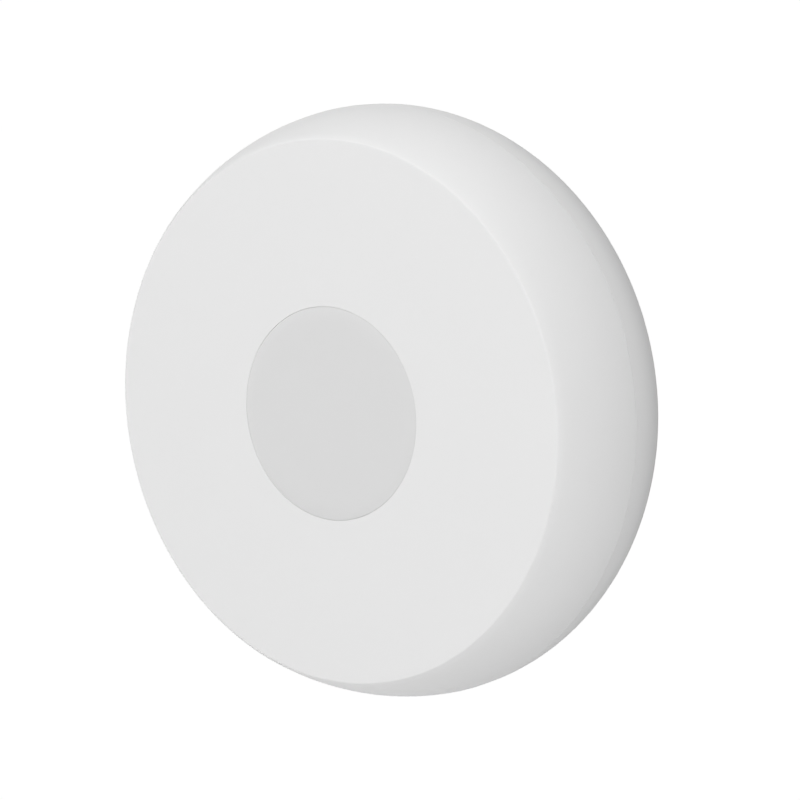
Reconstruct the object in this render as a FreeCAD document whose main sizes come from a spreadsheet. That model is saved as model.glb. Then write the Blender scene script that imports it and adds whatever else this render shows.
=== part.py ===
import FreeCAD, Part
import math
import os
import sys

import Sketcher

# Emergency button: a round two-shell puck that sticks or screws to a wall, with a push button in its face.
# Every piece is drawn with its height measured from the wall, and then stood up as it hangs in use:
# the wall is the plane y = 0, the face looks along -Y, and +Z is up. The origin is the middle of the
# adhesive pad's rear face.

document = FreeCAD.newDocument("emergency_button")
sheet = document.addObject("Spreadsheet::Sheet", "Sizes")
sub_parts = []

# Driving sizes in millimetres and degrees: name, value, what it measures.
DRIVING_SIZES = [
    ("body_dia", 56.0, "widest circle of the puck"),
    ("side_inset", 2.8, "how far the edge of the face stands in from the widest circle"),
    ("front_depth", 8.4, "parting line to face"),
    ("side_band", 1.1, "straight band behind the parting line"),
    ("wall", 1.8, "thickness of both covers"),
    ("face_edge_round", 0.35, "rounding of the face's edge"),
    ("parting_gap", 0.06, "gap between the two covers"),
    ("parting_bevel", 0.08, "bevel on both sides of the parting line"),
    ("pad_dia", 24.0, "adhesive pad"),
    ("pad_thick", 0.8, "adhesive pad"),
    ("pad_proud", 0.3, "how far the pad stands out of the rear cover"),
    ("pad_margin", 0.3, "room round the pad in its recess"),
    ("wall_screw_spacing", 34.0, "between the two wall screw holes"),
    ("wall_screw_hole_dia", 4.2, "hole for the shank of a wall screw"),
    ("wall_screw_head_dia", 7.2, "countersink for the head of a wall screw"),
    ("wall_screw_boss_rise", 0.8, "boss round the countersink above the floor"),
    ("wall_screw_boss_rim", 0.8, "width of the boss outside the countersink"),
    ("spigot_depth", 2.0, "how far the front cover's spigot reaches into the rear cover"),
    ("spigot_wall", 1.6, "thickness of the spigot"),
    ("spigot_rise", 2.3, "height of the spigot's root above the parting line"),
    ("spigot_clearance", 0.3, "between spigot and rear cover"),
    ("seal_section_dia", 1.0, "section of the rubber seal ring"),
    ("seal_clearance", 0.06, "between seal ring and its neighbours"),
    ("hook_thick", 1.2, "bayonet hook of the rear cover"),
    ("lug_thick", 1.2, "bayonet lug of the inner frame"),
    ("lug_reach", 1.6, "how far a lug stands out of the frame's skirt"),
    ("lug_span", 22.0, "angle of a bayonet lug"),
    ("lug_clearance", 0.15, "between lug and hook"),
    ("twist_angle", 30.0, "turn that frees the lugs"),
    ("stop_span", 3.0, "angle of a stop rib"),
    ("stop_gap", 0.6, "angle between a lug's end and its stop rib"),
    ("bayonet_clearance", 0.3, "round the bayonet parts"),
    ("cell_dia", 24.5, "coin cell"),
    ("cell_height", 5.0, "coin cell"),
    ("cell_cap_rise", 0.3, "negative cap above the can's shoulder"),
    ("cell_cap_inset", 1.7, "negative cap inside the can's edge"),
    ("cell_clearance", 0.2, "round the cell in its well"),
    ("cell_floor_gap", 0.8, "cell to the rear cover's floor"),
    ("well_wall", 1.15, "wall of the cell's well"),
    ("well_lip", 0.85, "rim of the frame's plate in front of the cell"),
    ("well_short", 0.3, "well wall short of the cell's rear face"),
    ("cell_hook_thick", 0.4, "hook behind the cell"),
    ("cell_hook_catch", 0.4, "how far the hook reaches behind the cell"),
    ("contact_slot_rise", 0.9, "slot for the positive contact above the cell's rear face"),
    ("frame_plate", 1.0, "plate of the inner frame"),
    ("frame_skirt_wall", 1.4, "outer wall of the inner frame"),
    ("frame_to_spigot", 1.1, "between frame and spigot"),
    ("board_drop", 2.1, "board's rear face behind the parting line"),
    ("board_thick", 1.0, "circuit board"),
    ("board_margin", 0.3, "frame's edge outside the board"),
    ("screw_shank_dia", 1.9, "frame screw"),
    ("screw_head_dia", 3.8, "frame screw"),
    ("screw_head_thick", 1.3, "frame screw"),
    ("screw_length", 7.4, "frame screw under its head"),
    ("screw_cross_length", 2.3, "cross recess of the frame screw, tip to tip"),
    ("screw_cross_width", 0.6, "arm of the cross recess"),
    ("screw_cross_depth", 0.8, "cross recess"),
    ("screw_spare", 0.4, "bore beyond the screw's tip"),
    ("screw_passage", 0.4, "frame and board holes over the shank"),
    ("thread_clearance", 0.1, "pilot hole over the shank"),
    ("screw_head_room", 0.6, "between screw head and frame skirt"),
    ("boss_wall", 1.4, "wall of the screw bosses"),
    ("button_hole_dia", 19.9, "hole in the face"),
    ("hole_edge_round", 0.1, "rounding of the hole's front edge"),
    ("button_gap", 0.12, "between hole and button all round"),
    ("button_slope", 1.1, "width of the sloping edge of the button's top"),
    ("button_slope_drop", 0.35, "how far that edge falls to the button's side"),
    ("button_corner_round", 0.12, "rounding between sloping edge and side"),
    ("button_plate", 1.6, "thickness of the button's top"),
    ("button_wall", 1.4, "thickness of the button's side"),
    ("flange_reach", 1.4, "button flange outside the button's side"),
    ("flange_thick", 1.0, "button flange"),
    ("flange_gap", 0.1, "between flange and cover at rest"),
    ("button_travel", 0.5, "press of the button"),
    ("stem_dia", 5.0, "stem under the button"),
    ("stem_rib_thick", 1.0, "ribs between stem and side"),
    ("key_width", 2.0, "key that keeps the button from turning"),
    ("key_reach", 0.9, "key outside the flange"),
    ("guide_clearance", 0.08, "between flange or key and guide ring"),
    ("guide_wall", 1.4, "guide ring round the flange"),
    ("guide_depth", 3.1, "guide ring behind the inner face"),
    ("bead_thick", 1.0, "rim of the membrane"),
    ("bead_width", 1.3, "rim of the membrane"),
    ("membrane_web", 0.4, "web of the membrane"),
    ("membrane_pad_thick", 0.6, "pad in the middle of the membrane"),
    ("membrane_pad_rim", 0.3, "pad outside the stem"),
    ("retainer_thick", 1.0, "ring behind the membrane"),
    ("ear_dia", 3.6, "ears of the retainer"),
    ("stake_dia", 1.6, "posts that hold the retainer"),
    ("stake_head_dia", 2.6, "flattened ends of the posts"),
    ("stake_head_thick", 0.5, "flattened ends of the posts"),
    ("stake_clearance", 0.1, "ear hole over the post, all round"),
    ("switch_side", 6.0, "square body of the switch"),
    ("switch_height", 3.2, "switch body above the board"),
    ("switch_floor", 1.7, "floor of the switch above the board"),
    ("switch_plate_thick", 0.3, "metal top of the switch"),
    ("switch_bore_dia", 4.8, "round room inside the switch"),
    ("dome_dia", 4.4, "snap dome"),
    ("dome_rise", 0.65, "snap dome"),
    ("dome_thick", 0.1, "snap dome"),
    ("dome_foot", 0.2, "flat rim of the dome"),
    ("plunger_dia", 3.5, "plunger of the switch"),
    ("plunger_foot_dia", 4.4, "foot of the plunger"),
    ("plunger_foot_thick", 0.75, "foot of the plunger"),
    ("plunger_top", 5.0, "plunger's top above the board"),
    ("plunger_clearance", 0.1, "round the plunger in the metal top"),
    ("touch_gap", 0.02, "between pieces that rest on each other"),
    ("sheet_thick", 0.2, "sheet metal of contacts and shield"),
    ("terminal_width", 0.6, "leg of the switch"),
    ("terminal_foot", 1.2, "foot of a leg, outwards"),
    ("terminal_spacing", 4.5, "between the legs of one side"),
    ("negative_width", 4.0, "negative contact"),
    ("negative_margin", 2.85, "negative contact's end inside the frame's window"),
    ("positive_width", 4.4, "positive contact"),
    ("slot_margin", 0.5, "room round the positive contact in the frame"),
    ("shield_length", 10.0, "radio shield, up and down"),
    ("shield_width", 6.0, "radio shield, across"),
    ("shield_height", 2.0, "radio shield"),
    ("board_edge_margin", 0.85, "between the board's edge and what stands near it"),
    ("radio_chip_side", 4.0, "square radio chip"),
    ("radio_chip_height", 0.9, "radio chip"),
    ("crystal_length", 2.5, "crystal, across"),
    ("crystal_width", 2.0, "crystal, up and down"),
    ("crystal_height", 0.7, "crystal"),
    ("radio_chip_rise", 1.9, "middle of the radio chip above the axis"),
    ("radio_spacing", 4.8, "between the middles of radio chip and crystal"),
    ("antenna_length", 7.0, "chip antenna"),
    ("antenna_width", 2.0, "chip antenna"),
    ("antenna_height", 1.2, "chip antenna"),
    ("reservoir_length", 7.3, "reservoir capacitor, across"),
    ("reservoir_width", 4.3, "reservoir capacitor, up and down"),
    ("reservoir_height", 1.9, "reservoir capacitor"),
    ("reservoir_gap", 2.8, "between the switch and the reservoir capacitor, across"),
    ("reservoir_rise", 8.5, "middle of the reservoir capacitor above the axis"),
    ("chip_part_length", 1.6, "small capacitors and resistors, up and down"),
    ("chip_part_width", 0.8, "small capacitors and resistors, across"),
    ("chip_capacitor_height", 0.8, "small capacitors"),
    ("chip_resistor_height", 0.45, "small resistors"),
    ("chip_part_pitch", 2.4, "between neighbours in a row"),
    ("chip_row_gap", 4.5, "between the switch and the first of a row"),
    ("chip_capacitor_rise", 3.4, "row of capacitors above the axis"),
    ("chip_resistor_drop", 5.0, "row of resistors below the axis"),
    ("lamp_length", 2.0, "status lamp, across"),
    ("lamp_width", 1.25, "status lamp, up and down"),
    ("lamp_height", 0.6, "status lamp under its lens"),
    ("lamp_lens_dia", 1.0, "lens of the status lamp"),
    ("lamp_lens_rise", 0.4, "lens of the status lamp"),
    ("lamp_gap", 4.5, "between the switch and the status lamp"),
    ("peg_dia", 1.8, "pegs that place the board"),
    ("peg_offset", 0.7, "circle of the pegs outside the circle of the screws"),
    ("peg_clearance", 0.1, "round a peg in the board"),
    ("peg_proud", 0.1, "how far a peg stands out of the board"),
]

BAYONET_COUNT = 3
BAYONET_TURN = 0.0
BOSS_COUNT = 3
BOSS_TURN = 90.0
STAKE_TURN = 30.0
PEG_TURN = 60.0
CELL_HOOK_TURN = 60.0
CELL_HOOK_SPAN = 24.0
FINGER_NOTCH_TURN = 150.0
FINGER_NOTCH_SPAN = 34.0
RIB_TURN = 45.0


class Size:
    """A length or angle that knows its number and the formula that gives it from the sheet."""

    def __init__(self, number, formula):
        self.number = number
        self.formula = formula

    def __add__(self, other):
        other = as_size(other)
        return Size(self.number + other.number, f"({self.formula} + {other.formula})")

    def __sub__(self, other):
        other = as_size(other)
        return Size(self.number - other.number, f"({self.formula} - {other.formula})")

    def __mul__(self, other):
        other = as_size(other)
        return Size(self.number * other.number, f"({self.formula} * {other.formula})")

    def __truediv__(self, other):
        other = as_size(other)
        return Size(self.number / other.number, f"({self.formula} / {other.formula})")

    def __rsub__(self, other):
        return as_size(other) - self

    def __neg__(self):
        return Size(-self.number, f"(-1 * {self.formula})")

    __radd__ = __add__
    __rmul__ = __mul__


def as_size(value):
    if isinstance(value, Size):
        return value
    return Size(float(value), repr(float(value)))


def root(size):
    return Size(math.sqrt(size.number), f"sqrt({size.formula})")


class Sizes:
    """The driving sizes by name."""


size = Sizes()
for row, (name, value, meaning) in enumerate(DRIVING_SIZES, start=1):
    sheet.set(f"A{row}", name)
    sheet.set(f"B{row}", str(value))
    sheet.set(f"C{row}", meaning)
    sheet.setAlias(f"B{row}", name)
    setattr(size, name, Size(value, f"Sizes.{name}"))
document.recompute()

# Levels above the wall and radii that several pieces share.
body_radius = size.body_dia / 2
back_level = size.pad_proud
floor_level = back_level + size.wall
cell_back_level = floor_level + size.cell_floor_gap
cell_front_level = cell_back_level + size.cell_height
plate_back_level = cell_front_level - size.cell_cap_rise
board_back_level = plate_back_level + size.frame_plate
board_front_level = board_back_level + size.board_thick
parting_level = board_back_level + size.board_drop
face_level = parting_level + size.front_depth
inner_face_level = face_level - size.wall
band_level = parting_level - size.side_band
rear_rim_level = parting_level - size.parting_gap / 2
front_rim_level = parting_level + size.parting_gap / 2
rear_round = band_level - back_level
rear_flat_radius = body_radius - rear_round
crease_radius = body_radius - size.side_inset
side_round = (size.side_inset * size.side_inset + size.front_depth * size.front_depth) / (2 * size.side_inset)
side_centre = body_radius - side_round
bore_radius = body_radius - size.wall
spigot_radius = bore_radius - size.spigot_clearance
spigot_bore_radius = spigot_radius - size.spigot_wall
spigot_level = parting_level - size.spigot_depth
hook_front_level = spigot_level - size.bayonet_clearance
hook_back_level = hook_front_level - size.hook_thick
lug_front_level = hook_back_level - size.lug_clearance
lug_back_level = lug_front_level - size.lug_thick
frame_radius = spigot_bore_radius - size.frame_to_spigot
lug_radius = frame_radius + size.lug_reach
hook_radius = frame_radius + size.bayonet_clearance
skirt_bore_radius = frame_radius - size.frame_skirt_wall
screw_circle_radius = skirt_bore_radius - size.screw_head_room - size.screw_head_dia / 2
cell_radius = size.cell_dia / 2
well_bore_radius = cell_radius + size.cell_clearance
well_radius = well_bore_radius + size.well_wall
window_radius = cell_radius - size.well_lip
board_radius = frame_radius - size.board_margin
peg_circle_radius = screw_circle_radius + size.peg_offset
hole_radius = size.button_hole_dia / 2
button_radius = hole_radius - size.button_gap
flange_radius = button_radius + size.flange_reach
flange_front_level = inner_face_level - size.flange_gap
flange_back_level = flange_front_level - size.flange_thick
button_under_level = face_level - size.button_plate
guide_bore_radius = flange_radius + size.guide_clearance
guide_radius = guide_bore_radius + size.guide_wall
guide_level = inner_face_level - size.guide_depth
bead_back_level = guide_level - size.bead_thick
retainer_back_level = bead_back_level - size.retainer_thick
stake_circle_radius = guide_radius + size.ear_dia / 2
plunger_front_level = board_front_level + size.plunger_top
membrane_back_level = plunger_front_level + size.touch_gap
membrane_front_level = membrane_back_level + size.membrane_pad_thick
stem_back_level = membrane_front_level + size.touch_gap
stem_radius = size.stem_dia / 2
switch_front_level = board_front_level + size.switch_height
switch_floor_level = board_front_level + size.switch_floor


def outer_side(level):
    """Radius of the front cover's convex side at a level."""
    rise = level - parting_level
    return side_centre + root(side_round * side_round - rise * rise)


def inner_side(level):
    """Radius of the front cover's inner side at a level."""
    rise = level - parting_level
    inner_round = side_round - size.wall
    return side_centre + root(inner_round * inner_round - rise * rise)


def rear_wall_middle(level):
    """Radius of the middle of the rear cover's wall at a level behind the straight band."""
    drop = band_level - level
    middle_round = rear_round - size.wall / 2
    return rear_flat_radius + root(middle_round * middle_round - drop * drop)


def origin_part(body, role):
    """The origin plane or axis of a body that has this role."""
    return next(item for item in body.Origin.OriginFeatures if item.Role == role)


def new_body(label):
    """An empty sub-part."""
    body = document.addObject("PartDesign::Body", label)
    body.Label = label
    sub_parts.append(body)
    return body


def flat_sketch(body, name, level):
    """A sketch parallel to the wall at a level above it."""
    sketch = body.newObject("Sketcher::SketchObject", name)
    sketch.AttachmentSupport = [(origin_part(body, "XY_Plane"), "")]
    sketch.MapMode = "FlatFace"
    level = as_size(level)
    sketch.AttachmentOffset = FreeCAD.Placement(FreeCAD.Vector(0, 0, level.number), FreeCAD.Rotation())
    sketch.setExpression("AttachmentOffset.Base.z", level.formula)
    return sketch


def turn_flat(sketch, degrees):
    """Turn a flat sketch about the puck's axis."""
    offset = sketch.AttachmentOffset
    offset.Rotation = FreeCAD.Rotation(FreeCAD.Vector(0, 0, 1), degrees)
    sketch.AttachmentOffset = offset


def section_sketch(body, name, turn=0.0):
    """A sketch of a cross-section: radius across, level up, turned about the puck's axis."""
    sketch = body.newObject("Sketcher::SketchObject", name)
    sketch.AttachmentSupport = [(origin_part(body, "XZ_Plane"), "")]
    sketch.MapMode = "FlatFace"
    turn = as_size(turn)
    rotation = FreeCAD.Rotation(FreeCAD.Vector(0, 1, 0), turn.number)
    sketch.AttachmentOffset = FreeCAD.Placement(FreeCAD.Vector(0, 0, 0), rotation)
    if "Sizes" in turn.formula:
        sketch.setExpression("AttachmentOffset.Rotation.Axis.y", "1")
        sketch.setExpression("AttachmentOffset.Rotation.Angle", turn.formula)
    return sketch


def pin_point(sketch, geometry, end, across, up):
    """Fix one end of an edge at a place given by sizes; a plain 0 puts it on the axis."""
    for kind, axis, place in (("DistanceX", -2, across), ("DistanceY", -1, up)):
        if isinstance(place, Size):
            index = sketch.addConstraint(Sketcher.Constraint(kind, -1, 1, geometry, end, place.number))
            sketch.setExpression(f"Constraints[{index}]", place.formula)
        elif place == 0:
            sketch.addConstraint(Sketcher.Constraint("PointOnObject", geometry, end, axis))
        else:
            sketch.addConstraint(Sketcher.Constraint(kind, -1, 1, geometry, end, float(place)))


def draw_outline(sketch, points, arcs=None):
    """A closed outline through the points; arcs gives a radius to the edges that leave some points.

    A positive radius turns left on the way to the next point, and a negative one turns right.
    """
    arcs = arcs or {}
    places = [FreeCAD.Vector(as_size(across).number, as_size(up).number, 0) for across, up in points]
    starts = []
    for index, start in enumerate(places):
        end = places[(index + 1) % len(places)]
        if index not in arcs:
            geometry = sketch.addGeometry(Part.LineSegment(start, end), False)
            starts.append((geometry, 1, 2))
            continue
        radius = abs(arcs[index].number)
        left = arcs[index].number > 0
        chord = end - start
        inward = FreeCAD.Vector(-chord.y, chord.x, 0).normalize()
        reach = math.sqrt(radius ** 2 - (chord.Length / 2) ** 2)
        centre = (start + end) / 2 + inward * (reach if left else -reach)
        first, last = (start, end) if left else (end, start)
        angles = [math.atan2(place.y - centre.y, place.x - centre.x) for place in (first, last)]
        circle = Part.Circle(centre, FreeCAD.Vector(0, 0, 1), radius)
        geometry = sketch.addGeometry(Part.ArcOfCircle(circle, angles[0], angles[1]), False)
        starts.append((geometry, 1, 2) if left else (geometry, 2, 1))
    for index, (geometry, _, end) in enumerate(starts):
        following, start, _ = starts[(index + 1) % len(starts)]
        sketch.addConstraint(Sketcher.Constraint("Coincident", geometry, end, following, start))
    for (geometry, start, _), (across, up) in zip(starts, points):
        pin_point(sketch, geometry, start, across, up)
    for index, radius in arcs.items():
        bend = radius if radius.number > 0 else -radius
        constraint = sketch.addConstraint(Sketcher.Constraint("Radius", starts[index][0], bend.number))
        sketch.setExpression(f"Constraints[{constraint}]", bend.formula)


def rectangle(low_across, high_across, low_up, high_up):
    """Corner points of a rectangle."""
    return [(low_across, low_up), (high_across, low_up), (high_across, high_up), (low_across, high_up)]


def draw_circle(sketch, across, up, radius):
    """A circle with its centre at a place."""
    centre = FreeCAD.Vector(as_size(across).number, as_size(up).number, 0)
    circle = Part.Circle(centre, FreeCAD.Vector(0, 0, 1), radius.number)
    geometry = sketch.addGeometry(circle, False)
    pin_point(sketch, geometry, 3, across, up)
    index = sketch.addConstraint(Sketcher.Constraint("Radius", geometry, radius.number))
    sketch.setExpression(f"Constraints[{index}]", radius.formula)


def pad(body, sketch, height):
    """Raise a flat sketch towards the face."""
    feature = body.newObject("PartDesign::Pad", sketch.Name + "_pad")
    feature.Profile = sketch
    feature.setExpression("Length", as_size(height).formula)
    return feature


def pocket(body, sketch, height):
    """Cut a flat sketch towards the face."""
    feature = body.newObject("PartDesign::Pocket", sketch.Name + "_cut")
    feature.Profile = sketch
    feature.Reversed = True
    feature.setExpression("Length", as_size(height).formula)
    return feature


def swing(body, kind, sketch, span):
    """Carry a cross-section round the puck's axis over an angle, half to each side."""
    feature = body.newObject("PartDesign::" + kind, sketch.Name + "_" + kind.lower())
    feature.Profile = sketch
    feature.ReferenceAxis = (sketch, ["V_Axis"])
    feature.Midplane = True
    span = as_size(span)
    feature.Angle = span.number
    if "Sizes" in span.formula:
        feature.setExpression("Angle", span.formula)
    return feature


def revolve(body, name, points, arcs=None):
    """A full turn of a cross-section."""
    sketch = section_sketch(body, name)
    draw_outline(sketch, points, arcs)
    return swing(body, "Revolution", sketch, 360)


def sector(body, kind, name, points, turn, span):
    """Part of a turn of a cross-section, added or cut."""
    sketch = section_sketch(body, name, turn)
    draw_outline(sketch, points)
    return swing(body, kind, sketch, span)


def repeat_round(body, features, count):
    """Repeat features round the puck's axis."""
    pattern = body.newObject("PartDesign::PolarPattern", features[0].Name + "_round")
    pattern.Originals = features
    pattern.Axis = (origin_part(body, "Z_Axis"), [""])
    pattern.Angle = 360
    pattern.Occurrences = count
    body.Tip = pattern
    return pattern


def round_edge(body, name, radius, level, amount):
    """Round the circular edge that lies at a radius and level."""
    document.recompute()
    base = body.Tip
    found = []
    for number, edge in enumerate(base.Shape.Edges, start=1):
        box = edge.BoundBox
        flat = abs(box.ZMin - level.number) < 1e-4 and abs(box.ZMax - level.number) < 1e-4
        if flat and abs(box.XMax - radius.number) < 1e-4:
            found.append(f"Edge{number}")
    fillet = body.newObject("PartDesign::Fillet", name)
    fillet.Base = (base, found)
    fillet.setExpression("Radius", amount.formula)
    return fillet


def make_rear_cover():
    """Rear shell: flat back, rounded side, two countersunk wall holes and three bayonet hooks."""
    body = new_body("rear_cover")
    lead = size.parting_bevel
    revolve(body, "shell_section", [
        (0, back_level),
        (rear_flat_radius, back_level),
        (body_radius, band_level),
        (body_radius, rear_rim_level - size.parting_bevel),
        (body_radius - size.parting_bevel, rear_rim_level),
        (bore_radius + lead, rear_rim_level),
        (bore_radius, rear_rim_level - lead),
        (bore_radius, band_level),
        (rear_flat_radius, floor_level),
        (0, floor_level),
    ], {1: rear_round, 7: -(rear_round - size.wall)})

    recess = flat_sketch(body, "pad_recess", back_level)
    draw_circle(recess, 0, 0, size.pad_dia / 2 + size.pad_margin)
    pocket(body, recess, size.pad_thick - size.pad_proud)

    half_spacing = size.wall_screw_spacing / 2
    head_radius = size.wall_screw_head_dia / 2
    bosses = flat_sketch(body, "screw_bosses", floor_level)
    draw_circle(bosses, half_spacing, 0, head_radius + size.wall_screw_boss_rim)
    draw_circle(bosses, -half_spacing, 0, head_radius + size.wall_screw_boss_rim)
    pad(body, bosses, size.wall_screw_boss_rise)

    boss_level = floor_level + size.wall_screw_boss_rise
    places = flat_sketch(body, "wall_screw_places", boss_level)
    draw_circle(places, half_spacing, 0, size.wall_screw_hole_dia / 2)
    draw_circle(places, -half_spacing, 0, size.wall_screw_hole_dia / 2)
    document.recompute()
    holes = body.newObject("PartDesign::Hole", "wall_screw_holes")
    holes.Profile = places
    holes.ThreadType = "None"
    holes.DepthType = "ThroughAll"
    holes.DrillPoint = "Flat"
    holes.HoleCutType = "Countersink"
    holes.HoleCutCustomValues = True
    holes.HoleCutCountersinkAngle = 90
    holes.setExpression("Diameter", size.wall_screw_hole_dia.formula)
    holes.setExpression("HoleCutDiameter", size.wall_screw_head_dia.formula)

    half_lug = size.lug_span / 2
    stop_offset = half_lug + size.stop_gap + size.stop_span / 2
    hook = sector(body, "Revolution", "hook_section", [
        (hook_radius, hook_back_level),
        (rear_wall_middle(hook_back_level), hook_back_level),
        (rear_wall_middle(hook_front_level), hook_front_level),
        (hook_radius, hook_front_level),
    ], BAYONET_TURN - (size.stop_gap + size.stop_span) / 2, size.lug_span + size.stop_gap + size.stop_span)
    stop_level = lug_back_level - size.lug_clearance
    rib = [
        (hook_radius, stop_level),
        (rear_wall_middle(stop_level), stop_level),
        (rear_wall_middle(hook_back_level), hook_back_level),
        (hook_radius, hook_back_level),
    ]
    closed_turn = BAYONET_TURN - stop_offset
    open_turn = BAYONET_TURN + stop_offset + size.twist_angle
    closed_stop = sector(body, "Revolution", "closed_stop_section", rib, closed_turn, size.stop_span)
    open_stop = sector(body, "Revolution", "open_stop_section", rib, open_turn, size.stop_span)
    repeat_round(body, [hook, closed_stop, open_stop], BAYONET_COUNT)


def make_adhesive_pad():
    """Foam pad, sticky on both sides, that sits in the rear cover's recess."""
    body = new_body("adhesive_pad")
    revolve(body, "pad_section", rectangle(0, size.pad_dia / 2, as_size(0), size.pad_thick))


def make_front_cover():
    """Front shell: face with the button's hole, convex side, spigot, bosses and guide ring."""
    body = new_body("front_cover")
    bevel_level = front_rim_level + size.parting_bevel
    root_level = parting_level + size.spigot_rise
    revolve(body, "shell_section", [
        (spigot_bore_radius, spigot_level),
        (spigot_radius, spigot_level),
        (spigot_radius, front_rim_level),
        (body_radius - size.parting_bevel, front_rim_level),
        (outer_side(bevel_level), bevel_level),
        (crease_radius, face_level),
        (hole_radius, face_level),
        (hole_radius, inner_face_level),
        (inner_side(inner_face_level), inner_face_level),
        (inner_side(root_level), root_level),
        (spigot_bore_radius, root_level),
    ], {4: side_round, 8: -(side_round - size.wall)})
    round_edge(body, "face_edge", crease_radius, face_level, size.face_edge_round)
    round_edge(body, "hole_edge", hole_radius, face_level, size.hole_edge_round)

    groove = section_sketch(body, "seal_groove")
    draw_outline(groove, rectangle(seal_groove_radius, spigot_radius + size.spigot_clearance,
                                   seal_level - seal_half_groove, seal_level + seal_half_groove))
    swing(body, "Groove", groove, 360)

    shank_radius = size.screw_shank_dia / 2
    boss_length = inner_face_level - board_front_level
    boss = flat_sketch(body, "screw_boss", board_front_level)
    turn_flat(boss, BOSS_TURN)
    draw_circle(boss, screw_circle_radius, 0, shank_radius + size.boss_wall)
    boss_pad = pad(body, boss, boss_length)
    repeat_round(body, [boss_pad], BOSS_COUNT)
    bore = flat_sketch(body, "screw_boss_bore", board_front_level)
    turn_flat(bore, BOSS_TURN)
    draw_circle(bore, screw_circle_radius, 0, shank_radius + size.thread_clearance / 2)
    bore_cut = pocket(body, bore, screw_in_boss + size.screw_spare)
    repeat_round(body, [bore_cut], BOSS_COUNT)

    guide = flat_sketch(body, "button_guide", guide_level)
    draw_circle(guide, 0, 0, guide_radius)
    draw_circle(guide, 0, 0, guide_bore_radius)
    pad(body, guide, size.guide_depth)
    half_key = size.key_width / 2 + size.guide_clearance
    key_room = flange_radius + size.key_reach + size.guide_clearance
    keyways = flat_sketch(body, "keyways", guide_level)
    draw_outline(keyways, rectangle(-key_room, key_room, -half_key, half_key))
    pocket(body, keyways, size.guide_depth)

    post = flat_sketch(body, "retainer_post", retainer_back_level)
    turn_flat(post, STAKE_TURN)
    draw_circle(post, stake_circle_radius, 0, size.stake_dia / 2)
    post_pad = pad(body, post, inner_face_level - retainer_back_level)
    head = flat_sketch(body, "retainer_post_head", retainer_back_level - size.stake_head_thick)
    turn_flat(head, STAKE_TURN)
    draw_circle(head, stake_circle_radius, 0, size.stake_head_dia / 2)
    head_pad = pad(body, head, size.stake_head_thick)
    repeat_round(body, [post_pad, head_pad], BOSS_COUNT)


def make_cover_seal():
    """Rubber ring in the groove of the front cover's spigot."""
    body = new_body("cover_seal")
    section = section_sketch(body, "ring_section")
    draw_circle(section, seal_ring_radius, seal_level, seal_section_radius)
    swing(body, "Revolution", section, 360)


def make_inner_frame():
    """Carrier: plate for the board, well for the cell, skirt with the bayonet lugs."""
    body = new_body("inner_frame")
    well_level = cell_back_level + size.well_short
    revolve(body, "frame_section", [
        (window_radius, plate_back_level),
        (well_bore_radius, plate_back_level),
        (well_bore_radius, well_level),
        (well_radius, well_level),
        (well_radius, plate_back_level),
        (skirt_bore_radius, plate_back_level),
        (skirt_bore_radius, lug_back_level),
        (frame_radius, lug_back_level),
        (frame_radius, board_back_level),
        (window_radius, board_back_level),
    ])
    lug = sector(body, "Revolution", "lug_section",
                 rectangle(skirt_bore_radius, lug_radius, lug_back_level, lug_front_level),
                 BAYONET_TURN, size.lug_span)
    repeat_round(body, [lug], BAYONET_COUNT)

    hole = flat_sketch(body, "screw_hole", plate_back_level)
    turn_flat(hole, BOSS_TURN)
    draw_circle(hole, screw_circle_radius, 0, (size.screw_shank_dia + size.screw_passage) / 2)
    hole_cut = pocket(body, hole, size.frame_plate)
    repeat_round(body, [hole_cut], BOSS_COUNT)

    peg = flat_sketch(body, "board_peg", board_back_level)
    turn_flat(peg, PEG_TURN)
    draw_circle(peg, peg_circle_radius, 0, size.peg_dia / 2)
    draw_circle(peg, -peg_circle_radius, 0, size.peg_dia / 2)
    pad(body, peg, size.board_thick + size.peg_proud)

    hook_level = cell_back_level - size.touch_gap
    hook = sector(body, "Revolution", "cell_hook_section", [
        (well_radius - size.well_wall / 2, hook_level - size.cell_hook_thick),
        (well_radius, hook_level - size.cell_hook_thick),
        (well_radius, well_level + size.well_short),
        (well_bore_radius, well_level + size.well_short),
        (well_bore_radius, hook_level),
        (cell_radius - size.cell_hook_catch, hook_level),
    ], CELL_HOOK_TURN, CELL_HOOK_SPAN)
    repeat_round(body, [hook], 2)
    sector(body, "Groove", "finger_notch",
           rectangle(cell_radius, well_radius + size.cell_clearance, well_level - size.cell_clearance,
                     well_level + size.cell_height / 2),
           FINGER_NOTCH_TURN, FINGER_NOTCH_SPAN)

    slot = flat_sketch(body, "contact_slot", cell_back_level + size.contact_slot_rise)
    half_slot = size.positive_width / 2 + size.slot_margin
    draw_outline(slot, rectangle(-(positive_tab_end + size.slot_margin), -(window_radius - size.well_wall),
                                 -half_slot, half_slot))
    pocket(body, slot, board_back_level - cell_back_level)


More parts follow.
